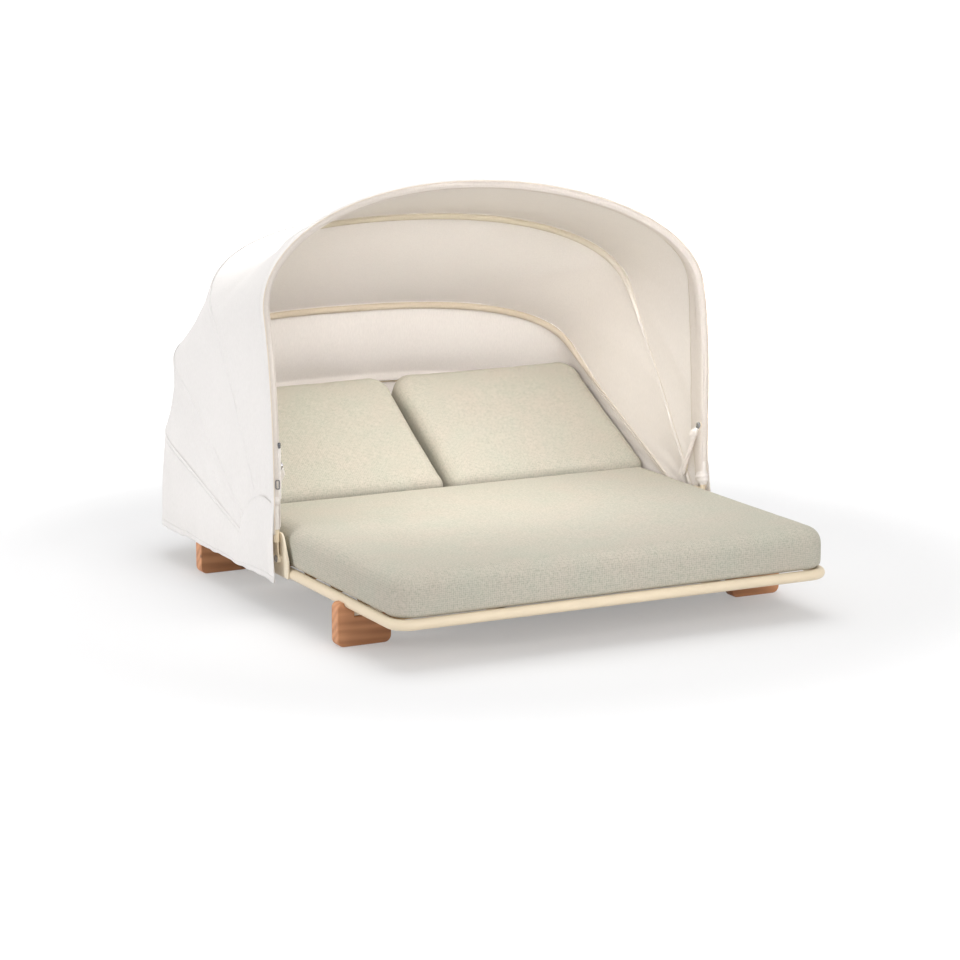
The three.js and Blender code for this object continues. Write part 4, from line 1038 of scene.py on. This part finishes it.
def padLoops(spec):  # from the middle of the bottom round the edge to the middle of the top
    def crownAt(points):
        across = np.clip(np.abs(points[:, 0]) / (spec["width"] / 2), 0, 1)
        along = np.clip(np.abs(points[:, 1]) / (spec["length"] / 2), 0, 1)
        return spec["crown"] * (1 - across ** crownPower) * (1 - along ** crownPower)

    loops = []
    inner = np.linspace(0.06, 0.94, padSteps["inner"])
    bottom = padOutline(spec, spec["bottomRound"])
    for share in inner:
        loops.append(np.column_stack([bottom * share, np.zeros(len(bottom))]))
    for angle in np.linspace(0, math.pi / 2, padSteps["bottom"] + 1):
        points = padOutline(spec, spec["bottomRound"] * (1 - math.sin(angle)))
        height = spec["bottomRound"] * (1 - math.cos(angle))
        loops.append(np.column_stack([points, np.full(len(points), height)]))
    rim = spec["thickness"] - spec["crown"]
    for angle in np.linspace(0, math.pi / 2, padSteps["top"] + 1):
        points = padOutline(spec, spec["topRound"] * (1 - math.cos(angle)))
        height = rim - spec["topRound"] * (1 - math.sin(angle))
        loops.append(np.column_stack([points, height + math.sin(angle) * crownAt(points)]))
    top = padOutline(spec, spec["topRound"])
    for share in inner[::-1]:
        loops.append(np.column_stack([top * share, rim + crownAt(top * share)]))
    return loops


def padMesh(name, spec):
    loops = padLoops(spec)
    points = np.concatenate(loops)
    index = np.arange(len(points)).reshape(len(loops), -1)
    nextOne = np.roll(index, -1, axis=1)
    faces = np.stack([index[:-1], nextOne[:-1], nextOne[1:], index[1:]], axis=-1).reshape(-1, 4).tolist()
    faces.append(index[0][::-1].tolist())
    faces.append(index[-1].tolist())
    return meshFrom(name, points, faces)


def readPoints(mesh):
    points = np.zeros(len(mesh.vertices) * 3)
    mesh.vertices.foreach_get("co", points)
    return points.reshape(-1, 3)


cushionSim = {"frames": 20, "quality": 4, "stretch": 12, "bend": 0.6}


def puffUp(piece, spec):  # swells the pad as cloth round foam: its points, and how far each one moves
    remesh = piece.modifiers.new("even", "REMESH")
    remesh.mode = "VOXEL"
    remesh.voxel_size = spec["voxel"]
    applyAll(piece)
    start = readPoints(piece.data)
    cloth = piece.modifiers.new("swell", "CLOTH")
    cloth.settings.use_pressure = True
    cloth.settings.uniform_pressure_force = spec["pressure"]
    cloth.settings.effector_weights.gravity = 0
    cloth.settings.quality = cushionSim["quality"]
    cloth.settings.tension_stiffness = cushionSim["stretch"]
    cloth.settings.compression_stiffness = cushionSim["stretch"]
    cloth.settings.bending_stiffness = cushionSim["bend"]
    cloth.collision_settings.use_collision = False
    cloth.point_cache.frame_start = 1
    cloth.point_cache.frame_end = cushionSim["frames"]
    for step in range(1, cushionSim["frames"] + 1):
        scene.frame_set(step)
    swollen = piece.evaluated_get(bpy.context.evaluated_depsgraph_get())
    move = readPoints(swollen.to_mesh()) - start
    swollen.to_mesh_clear()
    far = np.linalg.norm(move, axis=1)
    move *= np.minimum(1, spec["cap"] / np.maximum(far, 1e-9))[:, None]
    piece.modifiers.clear()
    scene.frame_set(1)
    return start, move


def finishPad(piece, points, look, body, node, place=None):
    piece.data.vertices.foreach_set("co", points.ravel())
    piece.data.update()
    piece.modifiers.new("soft", "SUBSURF").levels = 1
    applyAll(piece)
    if place:
        piece.data.transform(place)
    smoothFaces(piece.data)
    finishPiece(piece, [look], body, node)


def intoBox(points, low, high):  # scales the points so that they fill a box
    have0, have1 = points.min(axis=0), points.max(axis=0)
    share = (points - have0) / (have1 - have0)
    return np.asarray(low) + share * (np.asarray(high) - np.asarray(low))


mattress = {
    "width": 1.664, "length": 1.240, "thickness": 0.142,
    "frontCorner": 0.080, "backCorner": 0.060, "topRound": 0.054, "bottomRound": 0.016,
    "crown": 0.007, "waist": 0.002,
    "voxel": 0.0125, "cap": 0.005, "pressure": 2.2,
    "spare": 0.001,             # how far the pad stands out over its solid
    "backEdge": 0.056,          # the edge at the back is drawn together to this share
    "backShare": 0.42,
    "backKept": 0.0235,
    "backFade": 0.22,
    "backLean": 0.022,          # and its top leans back to the pads
    "wave": 0.0016,
}
backPad = {
    "width": 0.786, "length": 0.626, "thickness": 0.122,
    "frontCorner": 0.040, "backCorner": 0.080, "topRound": 0.037, "bottomRound": 0.028,
    "crown": 0.008, "waist": 0.004,
    "voxel": 0.0085, "cap": 0.007, "pressure": 3.0,
    "box": ((-0.404, -0.320, 0.0), (0.404, 0.340, 0.134)),      # a little fuller than its solid
    "spread": 0.0080,
    "spreadLow": 0.026,
    "tilt": 31,
    "offset": (0, 0.331, 0.0218),       # from the hinge, along the tilted back
}


def makeMattress():
    piece = linkObject("mattressPad", padMesh("mattressPad", mattress))
    points, swell = puffUp(piece, mattress)
    low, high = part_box("mattress")
    spare = mattress["spare"]
    points = intoBox(points, (low.x - spare, low.y - spare, low.z), (high.x + spare, high.y, high.z - spare))
    # the back edge is fuller than the others and stays up against the back pads
    edge, kept, fade = mattress["backEdge"], mattress["backKept"], mattress["backFade"]
    away = high.y - points[:, 1]
    drawn = np.where(away < fade, kept + (away - edge) * (fade - kept) / (fade - edge), away)
    points[:, 1] = high.y - np.where(away < edge, mattress["backShare"] * away, drawn)
    nearBack = smoothStep(points[:, 1], high.y - 0.10, high.y - 0.01)
    points[:, 1] += mattress["backLean"] * smoothStep(points[:, 2], low.z + 0.055, high.z - 0.02) * nearBack
    wave = ripple(131, 6, 6, 16)
    waveToo = ripple(132, 6, 6, 16)
    topShare = smoothStep(points[:, 2], high.z - 0.045, high.z - 0.005)
    inside = smoothStep(np.abs(points[:, 0]), 0.80, 0.62)
    inside *= smoothStep(points[:, 1], low.y + 0.03, low.y + 0.22)
    waves = wave(points[:, 0] + 0.4 * points[:, 1]) * waveToo(points[:, 1])
    points[:, 2] += mattress["wave"] * waves * topShare * inside
    finishPad(piece, points + swell, "cushionFlat", "bed", "mattress")


def makeBackPad(side, sign):
    name = "backPad" + side.capitalize()
    piece = linkObject(name, padMesh(name, backPad))
    points, swell = puffUp(piece, backPad)
    points = intoBox(points, *backPad["box"]) + swell
    # the outer side spreads against the canopy's side, more towards the seat
    spread = backPad["spread"] + backPad["spreadLow"] * smoothStep(points[:, 1], 0.34, -0.30)
    points[:, 0] += sign * spread * smoothStep(sign * points[:, 0], -0.40, 0.42)
    place = (Matrix.Translation(hinges["back_hinge_" + side])
             @ Matrix.Rotation(math.radians(backPad["tilt"]), 4, "X") @ Matrix.Translation(backPad["offset"]))
    finishPad(piece, points, "cushionTilted", "back_" + side, "back_cushion_" + side, place)


makeMattress()
for side, sign in (("left", -1), ("right", 1)):
    makeBackPad(side, sign)
print("cushions made")


rail = {"width": 1.700, "depth": 2.040, "diameter": 0.038, "top": 0.171, "corner": 0.078, "steps": 16,
        "sides": 32}


def makeRail():
    radius = rail["diameter"] / 2
    halfX, halfY = rail["width"] / 2 - radius, rail["depth"] / 2 - radius
    loop = roundedLoop(halfX, halfY, rail["corner"] - radius, rail["steps"])
    line = np.column_stack([loop, np.zeros(len(loop))])
    line += np.array([0, rail["depth"] / 2 + bedFront, rail["top"] - radius])
    piece = linkObject("railTube", pipeMesh("railTube", line, radius, rail["sides"], closed=True))
    finishPiece(piece, ["creamCoat"], "bed", "rail")


makeRail()

strutFoot = hinges["strut_pivot_right"]
strutWrap = {
    "ends": ((0.8478, strutFoot.y, strutFoot.z), (0.8478, -0.2139, 0.530)),     # on the right side
    "rings": 150,
    "sides": 26,
    "from": -0.05,              # shares of the strut's length
    "to": 0.945,
    "radius": 0.0098,
    "inward": 0.0042,
    "foot": 0.0036,
    "footWide": 0.085,
    "bulge": 0.0052,
    "bulgeAt": 0.80,
    "bulgeWide": 0.11,
    "bulgeFold": 0.0042,
    "fold": 0.0012,
    "shift": 0.0045,
    "capRings": 12,
    "capSides": 28,
    "capAt": (0.925, 0.93, 0.975, 0.985),
    "capRadii": (0.0060, 0.0078, 0.0078, 0.0056),
}


def straightFrame(start, end, count, low, high):
    start, end = np.array(start), np.array(end)
    axis = unit(end - start)
    share = np.linspace(low, high, count)
    line = start + np.outer(share, end - start)
    aside = np.tile([1.0, 0, 0], (count, 1))
    behind = np.tile(np.cross(axis, [1.0, 0, 0]), (count, 1))
    return share, line, aside, behind


def makeStrutWrap(side, sign, seed):  # the cloth over a strut, bunched below its head, and the metal cap
    wrap = strutWrap
    start, end = [(sign * x, y, z) for x, y, z in wrap["ends"]]
    share, line, aside, behind = straightFrame(start, end, wrap["rings"], wrap["from"], wrap["to"])
    angle = ringAngles(wrap["sides"])
    bulge = bell(share, wrap["bulgeAt"], wrap["bulgeWide"])
    bulge *= smoothStep(share, wrap["to"] + 0.002, wrap["to"] - 0.08)
    folds = ripple(seed, 5, 85, 150)
    wrinkles = ripple(seed + 1, 7, 140, 320)
    slant = share[:, None] + 0.045 * np.sin(angle + 0.6)[None, :] + 0.015 * np.sin(2 * angle + 1.1)[None, :]
    foot = bell(share, 0, wrap["footWide"])
    radii = wrap["radius"] + (wrap["bulge"] * bulge + wrap["foot"] * foot)[:, None]
    radii = radii + wrap["bulgeFold"] * bulge[:, None] * folds(slant)
    radii += wrap["fold"] * (0.4 + bulge[:, None]) * wrinkles(slant)
    radii[0] *= 0.5
    line = line - sign * aside * (wrap["inward"] + wrap["shift"] * bulge)[:, None]
    line += behind * (wrap["shift"] * 0.8 * bulge)[:, None] * np.sign(behind[0][1])
    body = "strut_" + side
    name = "strutWrap" + side.capitalize()
    piece = linkObject(name, tubeMesh(name, line, aside, behind, radii))
    finishPiece(piece, ["canopyInsidePaintedShade"], body)
    low, high = wrap["capAt"][0], wrap["capAt"][-1]
    share, line, aside, behind = straightFrame(start, end, wrap["capRings"], low, high)
    radii = np.tile(np.interp(share, wrap["capAt"], wrap["capRadii"])[:, None], (1, wrap["capSides"]))
    name = "strutCap" + side.capitalize()
    cap = linkObject(name, tubeMesh(name, line, aside, behind, radii))
    finishPiece(cap, ["paintedShadeSteel"], body)


makeStrutWrap("left", -1, 301)
makeStrutWrap("right", 1, 311)


legCuff = {"rings": 90, "sides": 30, "least": 0.0121, "fold": 0.55, "crease": 0.0006}
cuffs = [   # where the front sleeve ends on each leg: heights, and how the cloth bunches there
    {"name": "leftCuff", "side": -1, "low": 0.306, "high": 0.425, "knotAt": 0.409, "knotWide": 0.011,
     "knot": 0.0036, "tube": 0.0132, "reach": 0.0, "seed": 331},
    {"name": "rightCuff", "side": 1, "low": 0.303, "high": 0.425, "knotAt": 0.330, "knotWide": 0.022,
     "knot": 0.0075, "tube": 0.0136, "reach": 0.012, "seed": 341},
]


def makeCuff(cuff):
    count = legCuff["rings"]
    heights = np.linspace(cuff["low"], cuff["high"], count)
    bow = bows["front"]
    x = cuff["side"] * legX(bow, heights - pivot[2])
    line = np.column_stack([x, np.full(count, pivot[1] - bow["drop"]), heights])
    knot = bell(heights, cuff["knotAt"], cuff["knotWide"])[:, None]
    angle = ringAngles(legCuff["sides"])
    folds = ripple(cuff["seed"], 6, 170, 380)
    slant = heights[:, None] + 0.012 * np.sin(angle + 0.4)[None, :] + 0.004 * np.sin(2 * angle)[None, :]
    radii = cuff["tube"] + cuff["knot"] * knot * (1 + legCuff["fold"] * folds(slant))
    radii = radii + legCuff["crease"] * folds(1.7 * slant)
    # the bunch hangs to the back
    radii += cuff["reach"] * knot * np.clip(np.sin(angle), 0, 1)[None, :] ** 1.5
    radii = np.maximum(radii, legCuff["least"])
    piece = linkObject(cuff["name"], tubeMesh(cuff["name"], line, *uprightFrame(count), radii))
    finishPiece(piece, ["canopyInsidePaintedShade"], "canopy_front")


for cuff in cuffs:
    makeCuff(cuff)

# the left leg also carries a strap with a chrome clip at its top and a flat ring lower down
strap = {
    "x": -0.8580, "y": pivot[1] - 0.0105, "low": 0.415, "high": 0.600,
    "rings": 110,
    "sides": 18,
    "radius": 0.0052,
    "gather": 0.0011,
    "drift": 0.0012,
    "flatten": 0.25,
    "ringX": -0.8690,
    "ringAt": 0.467,
    "ringTall": 0.0150,
    "ringWide": 0.0062,
    "ringCorner": 0.0028,
    "ringAhead": 0.0096,
    "ringLean": 24,
    "wire": 0.0017,
    "clipTall": 0.020,
    "clipRadius": 0.0056,
    "clipDown": 0.006,
    "clipAt": (0, 0.1, 0.45, 0.5, 0.55, 0.9, 1),
    "clipWide": (0.8, 1, 1, 0.72, 1, 1, 0.6),
}


def makeStrap():
    count = strap["rings"]
    heights = np.linspace(strap["low"], strap["high"], count)
    gathers = ripple(353, 7, 180, 420)
    x = strap["x"] + strap["drift"] * gathers(0.3 * heights)
    line = np.column_stack([x, np.full(count, strap["y"]), heights])
    angle = ringAngles(strap["sides"])
    radii = strap["radius"] + strap["gather"] * gathers(heights[:, None] + 0.006 * np.sin(angle)[None, :])
    radii = radii * (1 + strap["flatten"] * np.cos(2 * angle))[None, :]
    band = linkObject("legStrap", tubeMesh("legStrap", line, *uprightFrame(count), radii))
    finishPiece(band, ["canopyInsidePaintedShade"], "canopy_front")
    loop = roundedLoop(strap["ringWide"], strap["ringTall"], strap["ringCorner"], 6)
    lean = math.radians(strap["ringLean"])
    loop = np.column_stack([loop[:, 0] * math.cos(lean), -loop[:, 0] * math.sin(lean), loop[:, 1]])
    loop += np.array([strap["ringX"], strap["y"] - strap["ringAhead"], strap["ringAt"]])
    ring = linkObject("strapRing", pipeMesh("strapRing", loop, strap["wire"], 10, closed=True))
    share = np.linspace(0, 1, 14)
    line = np.column_stack([np.full(14, strap["x"]), np.full(14, strap["y"] - 0.001),
                            strap["high"] - strap["clipDown"] + strap["clipTall"] * share])
    wide = strap["clipRadius"] * np.interp(share, strap["clipAt"], strap["clipWide"])
    radii = np.tile(wide[:, None], (1, 24))
    clip = linkObject("strapClip", tubeMesh("strapClip", line, *uprightFrame(14), radii))
    for piece in (ring, clip):
        finishPiece(piece, ["paintedShadeSteel"], "canopy_front")


makeStrap()
print("strut wraps, cuffs and strap made")

finishes = {"cream_metal": "creamCoat", "bright_steel": "steel", "leg_wood": "legWood",
            "slat_wood": "slatWood", "canopy_cloth": "canopyOutside", "cushion_cloth": "cushionFlat"}
for row in frame["record"]["subparts"]:
    node = cadNodes[row["node"]]
    if not node.hide_render:
        dress(node, finishes[row["material_slot"]])
print("carried-over solids dressed")
